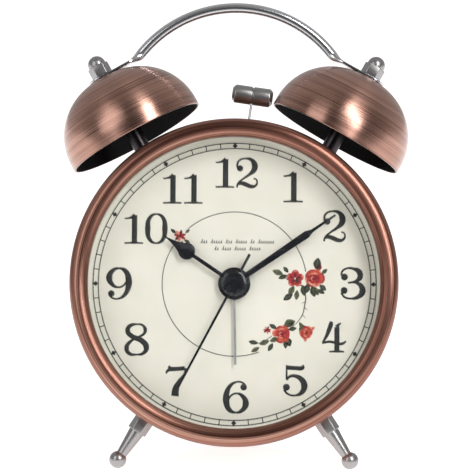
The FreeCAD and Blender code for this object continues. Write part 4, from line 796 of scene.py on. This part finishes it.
# Leaves and buds: (ink, x, z, long, wide, turn).
LEAVES = [("dark_leaf", 29.6, 7.4, 3.8, 2.3, 80), ("dark_crimson", 30.3, 6.0, 2.2, 1.5, 60),
          ("dark_leaf", 25.9, -1.6, 3.4, 1.9, 250), ("dark_leaf", 28.2, -2.6, 3.6, 1.9, 285),
          ("dark_leaf", 31.6, -1.2, 2.8, 1.5, 320), ("dark_leaf", 19.4, -20.6, 3.2, 2.0, 290),
          ("olive_leaf", 19.6, -14.0, 3.6, 2.4, 30), ("dark_leaf", 24.2, -16.0, 2.8, 1.7, 60),
          ("olive_leaf", 15.5, 4.2, 3.6, 1.7, 160), ("dark_leaf", 17.3, 2.6, 3.0, 1.4, 20),
          ("dark_leaf", 19.2, -4.6, 3.6, 1.8, 215), ("olive_leaf", 20.4, -2.3, 3.4, 1.7, 240),
          ("olive_leaf", 22.3, -3.9, 3.2, 1.5, 265), ("dark_leaf", 24.7, -2.2, 3.6, 1.7, 280),
          ("olive_leaf", 29.2, -2.4, 3.2, 1.6, 300), ("dark_leaf", 31.0, -2.6, 2.6, 1.3, 330),
          ("dark_leaf", 18.4, 5.2, 2.4, 1.2, 130), ("olive_leaf", 32.2, 4.6, 2.4, 1.2, 40),
          ("olive_leaf", 20.4, -14.2, 3.2, 1.5, 40), ("dark_leaf", 20.8, -16.0, 2.8, 1.3, 10),
          ("dark_leaf", 13.9, -15.2, 2.8, 1.3, 150), ("olive_leaf", 14.3, -19.9, 3.0, 1.5, 200),
          ("dark_leaf", 18.4, -21.4, 3.0, 1.4, 270), ("olive_leaf", 10.8, -20.9, 3.4, 1.6, 200),
          ("dark_leaf", 13.0, -22.6, 3.0, 1.4, 240), ("dark_leaf", 6.9, -20.9, 3.2, 1.3, 170),
          ("olive_leaf", 7.6, -23.5, 3.0, 1.3, 210), ("salmon", 28.0, -15.9, 1.9, 1.1, 40),
          ("salmon", 25.4, -19.6, 1.9, 1.1, 270), ("olive_leaf", 24.0, -14.9, 2.8, 1.2, 120),
          ("dark_leaf", -22.0, 18.9, 2.2, 1.0, 140), ("olive_leaf", -17.0, 15.2, 2.2, 1.0, 330),
          ("dark_leaf", -19.0, 14.3, 2.0, 0.9, 260), ("olive_leaf", -16.9, 18.9, 1.9, 0.9, 40)]
for ink, x, z, long, wide, turn in LEAVES:
    petal(ink, x, z, long * 1.12, wide * 1.25, turn, 1, 1.4)
    petal("olive_leaf" if ink == "dark_leaf" else "dark_leaf", x, z, long * 0.8, wide * 0.12, turn, 2, 1.4)
for ink, shape in printed_shapes.items():
    bmesh.ops.recalc_face_normals(shape, faces=shape.faces)
    down = [face for face in shape.faces if face.normal.z < 0]
    bmesh.ops.reverse_faces(shape, faces=down)
    print_on_dial(shape, f"print_{ink}", printing_ink(f"{ink}_ink", *INKS[ink]))
# Stems: lines of (x, z, half width).
STEMS = [[(17.0, 3.2, .12), (20.0, 1.0, .16), (24.0, -.5, .2), (25.5, -4.5, .2), (25.0, -8.3, .2),
          (24.6, -10.4, .18), (22.9, -13.2, .14), (20.6, -15.6, .1)],
         [(25.0, -8.3, .16), (26.3, -9.4, .06)], [(25.3, -6.3, .16), (24.0, -7.0, .05)],
         [(24.4, -11.0, .14), (25.6, -12.2, .05)], [(29.0, 4.5, .14), (29.4, 7.6, .1)],
         [(5.8, -21.6, .07), (9.4, -21.0, .13), (13.6, -18.6, .14)],
         [(24.2, -14.2, .1), (25.6, -16.5, .12)], [(-21.6, 18.4, .08), (-17.4, 15.6, .08)]]
stem_ink = printing_ink("stem_brown_ink", "#33261C", "#4A3828")
print_on_dial(pen_strokes([(False, stem) for stem in STEMS]), "print_stems", stem_ink)


# ---------------------------------------------------------------------------------------------
# Hands: stamped from thin steel sheet and enamelled, black for the time and grey for the alarm.
# Each is pushed on its own tube of the movement, and a turned cap holds the second hand.
# ---------------------------------------------------------------------------------------------
def enamel(name, colour, shade, gloss):
    """Stoved enamel on sheet steel: a smooth gloss coat with a faint waviness."""
    return clouded(name, [(0.35, colour), (0.7, shade)], (260.0, 4.0), gloss, 0.08,
                   (1600.0, 2.0, 0.08, 0.00003))


def stamped(outline, thick, edge):
    """A flat piece stamped from sheet: its outline of (x, z), its thickness and its rounded edge."""
    shape = bmesh.new()
    bmesh.ops.contextual_create(shape, geom=ring_at(shape, outline, Matrix.Identity(4)))
    raised = bmesh.ops.extrude_face_region(shape, geom=list(shape.faces))
    bmesh.ops.translate(shape, vec=(0, 0, thick),
                        verts=[v for v in raised["geom"] if isinstance(v, bmesh.types.BMVert)])
    bmesh.ops.recalc_face_normals(shape, faces=shape.faces)
    rims = [edge_ for edge_ in shape.edges if edge_.calc_face_angle(0) > 0.9]
    bmesh.ops.bevel(shape, geom=rims, offset=edge, affect="EDGES", segments=2, profile=0.5, material=-1)
    return shape


def circle_points(radius, count=64):
    """A circle's outline."""
    return [(radius * math.cos(2 * math.pi * i / count), radius * math.sin(2 * math.pi * i / count))
            for i in range(count)]


HAND_THICK = 0.35
CAP_FRONT, CAP_BACK, CAP_FACE_R, CAP_R = 8.1, 9.2, 3.6, 4.7
black_enamel = enamel("gloss_black_enamel", "#15161A", "#202127", 0.22)
grey_enamel = enamel("silver_grey_enamel", "#8B8F8F", "#A3A6A5", 0.34)
spade_r, spade_z, stem_half, point = 3.05, 20.6, 0.72, 30.5
spade_side = []
for step in range(15):
    turn = math.radians(-77 + 127 * step / 14)
    spade_side.append((spade_r * math.cos(turn), spade_z + spade_r * math.sin(turn)))
for step in range(1, 9):
    t = step / 8
    spade_side.append((1.96 * (1 - t) ** 1.7 + 0.22 * t, 22.94 + (point - 22.94) * t))
hour_side = [(stem_half, 4.0)] + spade_side
minute_side = [(0.95, 3.0), (1.35, 31.3), (0.56, 33.6), (0.38, 43.7)]
alarm_side = [(0.45, 2.4), (0.42, 29.0)]
second_side = [(0.50, -11.8), (0.41, 42.0)]
for name, body, depth, angle, side_points, hub, enamel_, slot in (
        ("hour", "hour", 10.5, 304.0, hour_side, 5.8, black_enamel, "black_enamel"),
        ("minute", "minute", 9.8, 55.7, minute_side, 4.3, black_enamel, "black_enamel"),
        ("alarm", "alarm_hand", 11.2, 179.0, alarm_side, 3.2, grey_enamel, "grey_enamel"),
        ("second", "second", 9.1, 208.0, second_side, 4.5, black_enamel, "black_enamel")):
    outline = side_points + [(-x, z) for x, z in reversed(side_points)]
    blade = stamped(outline, HAND_THICK, 0.09)
    hand = joined(blade, stamped(circle_points(hub), HAND_THICK, 0.1))
    if name == "second":
        cap = spin_bar([(0, CAP_FRONT), (CAP_FACE_R, CAP_FRONT), (CAP_R, CAP_FRONT + 0.4), (CAP_R, CAP_BACK),
                        (0, CAP_BACK)], 96, 0.5)
        bmesh.ops.transform(cap, verts=cap.verts, matrix=Matrix.Rotation(-math.pi / 2, 4, "X")
                            @ Matrix.Translation((0, -(depth + HAND_THICK), 0)))
        hand = joined(hand, cap)
    laid = (Matrix.Translation((0, depth + HAND_THICK, 0)) @ Matrix.Rotation(math.pi / 2, 4, "X")
            @ Matrix.Rotation(-math.radians(angle), 4, "Z"))
    settle_mesh(hand, laid, f"stamped_{name}_hand", enamel_, body, [f"{name}_hand"], 40)


# ---------------------------------------------------------------------------------------------
# Lens: a flat disc of clear window glass, held between the bezel's lip and the ring.
# ---------------------------------------------------------------------------------------------
LENS_R, LENS_FRONT, LENS_BACK = 56.2, 5.4, 6.9
window_glass, tree, shader = start_material("clear_float_glass")
shader.inputs["Base Color"].default_value = linear("#F7FBFA")
shader.inputs["Roughness"].default_value = 0.0
shader.inputs["IOR"].default_value = 1.45
shader.inputs["Transmission Weight"].default_value = 1.0
shader.inputs["Alpha"].default_value = 0.12
settle_mesh(spin_outline(soften([(0, LENS_FRONT), (LENS_R, LENS_FRONT), (LENS_R, LENS_BACK), (0, LENS_BACK)],
                                0.2, False), closed=False, steps=128),
            HERE, "window_pane", window_glass, "root", ["lens"])


# ---------------------------------------------------------------------------------------------
# Rear side: a cover moulded in black ABS with a fine spark-eroded grain, held by three screws,
# with a sliding battery door, the alarm's switch and two fluted setting knobs.
# ---------------------------------------------------------------------------------------------
def moulded_plastic(name, colour, shade, gloss, grain_mm, depth):
    """Moulded plastic: a grain of the given size, and a slightly uneven tone and gloss."""
    return clouded(name, [(0.35, shade), (0.65, colour)], (70.0, 4.0), gloss, 0.12,
                   (1000 / grain_mm, 3.0, depth, 0.0001), "grain")


black_abs = moulded_plastic("spark_grained_black_abs", "#1B1B1D", "#141416", 0.46, 0.5, 0.35)
paint(["rear_cover", "battery_box"], black_abs)
smooth_abs = moulded_plastic("satin_black_abs", "#232325", "#1A1A1C", 0.34, 0.9, 0.12)


def slab(wide, tall, thick, corner, edge):
    """A flat moulded piece with rounded corners and softened edges, its back on z = 0."""
    points = []
    for sign_x, sign_z, start in ((1, 1, 0), (-1, 1, 90), (-1, -1, 180), (1, -1, 270)):
        for step in range(6):
            turn = math.radians(start + 18 * step)
            points.append((sign_x * (wide / 2 - corner) + corner * math.cos(turn),
                           sign_z * (tall / 2 - corner) + corner * math.sin(turn)))
    return stamped(points, thick, edge)


def facing_back(x, depth, z):
    """The placement of a flat piece on the rear side: its own z points backwards."""
    turned_round = Matrix.Rotation(math.pi, 4, "Z") @ Matrix.Rotation(math.pi / 2, 4, "X")
    return Matrix.Translation((x, depth, z)) @ turned_round


# The battery door, with a thumb grip of five ribs and a moulded arrow that shows which way it slides.
BOX_Z, DOOR_WIDE, DOOR_TALL, DOOR_FRONT, DOOR_BACK = -35.0, 57.0, 17.0, 55.7, 56.9
door = slab(DOOR_WIDE, DOOR_TALL, DOOR_BACK - DOOR_FRONT - 0.35, 1.2, 0.2)
for rib in range(5):
    ridge = stamped([(-7, -0.4), (7, -0.4), (7, 0.4), (-7, 0.4)], 0.5, 0.18)
    bmesh.ops.translate(ridge, verts=ridge.verts, vec=(0, 1.8 * (rib - 2), DOOR_BACK - DOOR_FRONT - 0.5))
    door = joined(door, ridge)
arrow = stamped([(-2.2, 0), (0, -3.0), (2.2, 0), (0.8, 0), (0.8, 3), (-0.8, 3), (-0.8, 0)], 0.3, 0.08)
bmesh.ops.translate(arrow, verts=arrow.verts, vec=(17, 0, DOOR_BACK - DOOR_FRONT - 0.45))
door = joined(door, arrow)
settle_mesh(door, facing_back(0, DOOR_FRONT, BOX_Z), "sliding_battery_door", smooth_abs, "battery_door",
            ["battery_door"], 40)

# The knobs: a skirt, a fluted grip and a soft top edge.
KNOB_GRIP_R, KNOB_FRONT, KNOB_FLUTES, FLUTE_DEEP = 5.2, 56.4, 24, 0.28
KNOBS = {"time": ("time_setting", 10.8, -6.235), "alarm": ("alarm_setting", -7.2, 0.0)}
for name, (body, x, z) in KNOBS.items():
    knob = bmesh.new()
    grip = []
    for step in range(KNOB_FLUTES * 6):
        turn = 2 * math.pi * step / (KNOB_FLUTES * 6)
        radius = KNOB_GRIP_R - FLUTE_DEEP * (0.5 + 0.5 * math.cos(turn * KNOB_FLUTES)) ** 2
        grip.append((radius, turn))
    rings = []
    for height, grow, fluted in ((0, 0.0, 0), (0.0, 0.35, 0), (1.0, 0.4, 0), (1.3, 0.25, 0), (1.7, -0.05, 1),
                                 (4.9, -0.12, 1), (5.35, -0.35, 1), (5.6, -0.9, 0), (5.45, -2.0, 0)):
        outline = [((r + grow if fluted else KNOB_GRIP_R + grow) * math.cos(turn),
                    (r + grow if fluted else KNOB_GRIP_R + grow) * math.sin(turn)) for r, turn in grip]
        rings.append(ring_at(knob, outline, Matrix.Translation((0, 0, height))))
    for first, second in zip(rings, rings[1:]):
        bmesh.ops.bridge_loops(knob, edges=first + second)
    bmesh.ops.contextual_create(knob, geom=rings[0])
    bmesh.ops.contextual_create(knob, geom=rings[-1])
    bmesh.ops.recalc_face_normals(knob, faces=knob.faces)
    settle_mesh(knob, facing_back(x, KNOB_FRONT, z), f"fluted_{name}_knob", smooth_abs, body,
                [f"{name}_knob"], 35)
paint(["alarm_switch"], smooth_abs)


# ---------------------------------------------------------------------------------------------
# Fixings and works: steel screws, bracket and motor, stamped brass, moulded acetal wheels, the
# circuit board, the coil and the battery, each in its own stock.
# ---------------------------------------------------------------------------------------------
def rolled_metal(name, colour, shade, gloss):
    """Rolled or drawn metal: fine drawing lines one way, and a slight cloud in its gloss."""
    material, tree, shader = start_material(name)
    place = add(tree, "ShaderNodeTexCoord").outputs["Object"]
    mapped = add(tree, "ShaderNodeMapping", [("Vector", place)], scale=(300, 3000, 3000))
    drawn = add(tree, "ShaderNodeTexNoise", [("Vector", mapped.outputs["Vector"])], scale=1.0,
                detail=3.0).outputs["Fac"]
    dress(tree, shader, drawn, [(0.35, shade), (0.65, colour)], gloss, 0.12, drawn, (drawn, 0.15, 0.00003))
    shader.inputs["Metallic"].default_value = 1.0
    return material


paint(["cover_screws", "bracket_screws", "lock_nuts"],
      rolled_metal("zinc_plated_steel", "#BDBDB8", "#A5A5A0", 0.30))
paint(["battery_spring", "battery_contact", "hammer_lever", "hammer_pivot_pin", "mechanism_bracket",
       "crank_stud", "stator", "cover_lugs", "alarm_motor", "quartz_crystal", "time_arbor", "alarm_arbor"],
      rolled_metal("bright_spring_steel", "#B4B3AF", "#9A9995", 0.26))
paint(["dial_nut", "crank_wheel", "motor_pinion"],
      rolled_metal("stamped_brass", "#C7A45A", "#AD8B45", 0.28))
paint(["coil"], rolled_metal("enamelled_copper_wire", "#B5623A", "#95492A", 0.34))
paint(["alarm_wheel", "hour_wheel", "cannon_pinion", "motion_wheel", "centre_wheel", "third_wheel",
       "second_wheel", "fast_wheel", "rotor", "movement_bridge"],
      moulded_plastic("natural_acetal", "#E4E2DA", "#DAD8CF", 0.36, 0.8, 0.08))
paint(["movement_front_case", "movement_rear_case"],
      moulded_plastic("black_polystyrene", "#242426", "#1C1C1E", 0.40, 0.6, 0.2))
paint(["circuit_board"], moulded_plastic("green_glass_fibre_board", "#1F5B34", "#174A29", 0.38, 0.4, 0.15))
paint(["battery"], moulded_plastic("green_shrink_wrap", "#1F4A34", "#183C2A", 0.22, 2.5, 0.05))


# ---------------------------------------------------------------------------------------------
# Studio: a white table in a pale room, two soft lamps, and a camera a little below the dial's axis.
# ---------------------------------------------------------------------------------------------
def studio_card(name, centre, aim, wide, tall, watts, colour="#FFFFFF"):
    """A rectangular soft lamp that faces a point."""
    lamp_data = bpy.data.lights.new(name, "AREA")
    lamp_data.shape, lamp_data.size, lamp_data.size_y = "RECTANGLE", wide, tall
    lamp_data.energy, lamp_data.color = watts, linear(colour)[:3]
    lamp = bpy.data.objects.new(name, lamp_data)
    bpy.context.collection.objects.link(lamp)
    facing_aim = (aim - centre).to_track_quat("-Z", "Y").to_matrix().to_4x4()
    lamp.matrix_world = Matrix.Translation(centre) @ facing_aim


table_shape = bmesh.new()
bmesh.ops.create_grid(table_shape, x_segments=1, y_segments=1, size=6)
table_mesh = bpy.data.meshes.new("table")
table_shape.to_mesh(table_mesh)
table_shape.free()
# The table glows as well as being lit: white by the clock and fading to grey in front of it. This is painted
# light, seen behind the clock, reflected in it and lighting it from below.
table_white, tree, shader = start_material("glowing_white_table")
table_place = add(tree, "ShaderNodeTexCoord").outputs["Object"]
parts = add(tree, "ShaderNodeSeparateXYZ", [("Vector", table_place)])
reach = add(tree, "ShaderNodeMapRange", [("Value", parts.outputs["Y"])], from_min=-0.55, from_max=-0.09,
            interpolation_type="SMOOTHSTEP")
falloff = add(tree, "ShaderNodeValToRGB", [("Fac", reach.outputs["Result"])],
              [(0.0, "#6E6E6E"), (1.0, "#FFFFFF")]).outputs["Color"]
tree.links.new(falloff, shader.inputs["Base Color"])
tree.links.new(falloff, shader.inputs["Emission Color"])
shader.inputs["Roughness"].default_value = 0.9
shader.inputs["Emission Strength"].default_value = 0.8
table_mesh.materials.append(table_white)
table = bpy.data.objects.new("table", table_mesh)
bpy.context.collection.objects.link(table)

# The room: dark in front of the clock, lighter to the sides and above, white behind.
world = bpy.data.worlds.new("studio")
world.use_nodes = True
tree = world.node_tree
direction = add(tree, "ShaderNodeTexCoord").outputs["Generated"]
back_and_up = add(tree, "ShaderNodeVectorMath", [(0, direction), (1, (0, 0.94, 0.34))],
                  operation="DOT_PRODUCT")
turned = add(tree, "ShaderNodeMapRange", [("Value", back_and_up.outputs["Value"])], from_min=-1.0)
room = add(tree, "ShaderNodeValToRGB", [("Fac", turned.outputs["Result"])],
           [(0.0, "#464648"), (0.14, "#5C5C5E"), (0.34, "#989694"), (0.55, "#D0CECC"), (0.75, "#FFFFFF")])
tree.links.new(room.outputs["Color"], tree.nodes["Background"].inputs["Color"])
tree.nodes["Background"].inputs["Strength"].default_value = 0.5
bpy.context.scene.world = world
bpy.context.scene.view_settings.view_transform = "Standard"

clock_middle = Vector((0, 0, 0.085))


def lamp_place(turn, rise, away):
    """A place round the clock: degrees to the right of its front, degrees up, metres away."""
    turn, rise = math.radians(turn), math.radians(rise)
    return clock_middle + away * Vector((math.sin(turn) * math.cos(rise), -math.cos(turn) * math.cos(rise),
                                         math.sin(rise)))


studio_card("key_card", lamp_place(33, 35, 1.2), clock_middle, 0.30, 0.9, 9.5)
studio_card("left_card", lamp_place(-42, 26, 1.1), clock_middle, 0.6, 0.8, 3.0)

CAMERA_TURN, CAMERA_RISE, CAMERA_AWAY = math.radians(1.3), math.radians(8.6), 1.1
FRAME_WIDE, AIM_UP, AIM_RIGHT = 0.1664, 0.0164, 0.0005
ring_centre = STANDING @ Vector((0, 0, 0))
way = Vector((math.sin(CAMERA_TURN) * math.cos(CAMERA_RISE), -math.cos(CAMERA_TURN) * math.cos(CAMERA_RISE),
              math.sin(CAMERA_RISE)))
camera_data = bpy.data.cameras.new("camera")
camera_data.sensor_width = 36
camera_data.lens = 36 * CAMERA_AWAY / FRAME_WIDE
camera_data.clip_start, camera_data.clip_end = 0.05, 20
camera = bpy.data.objects.new("camera", camera_data)
bpy.context.collection.objects.link(camera)
facing = way.to_track_quat("Z", "Y").to_matrix()
aim_point = ring_centre + facing.col[1] * AIM_UP + facing.col[0] * AIM_RIGHT
camera.matrix_world = Matrix.Translation(aim_point + way * CAMERA_AWAY) @ facing.to_4x4()
bpy.context.scene.camera = camera
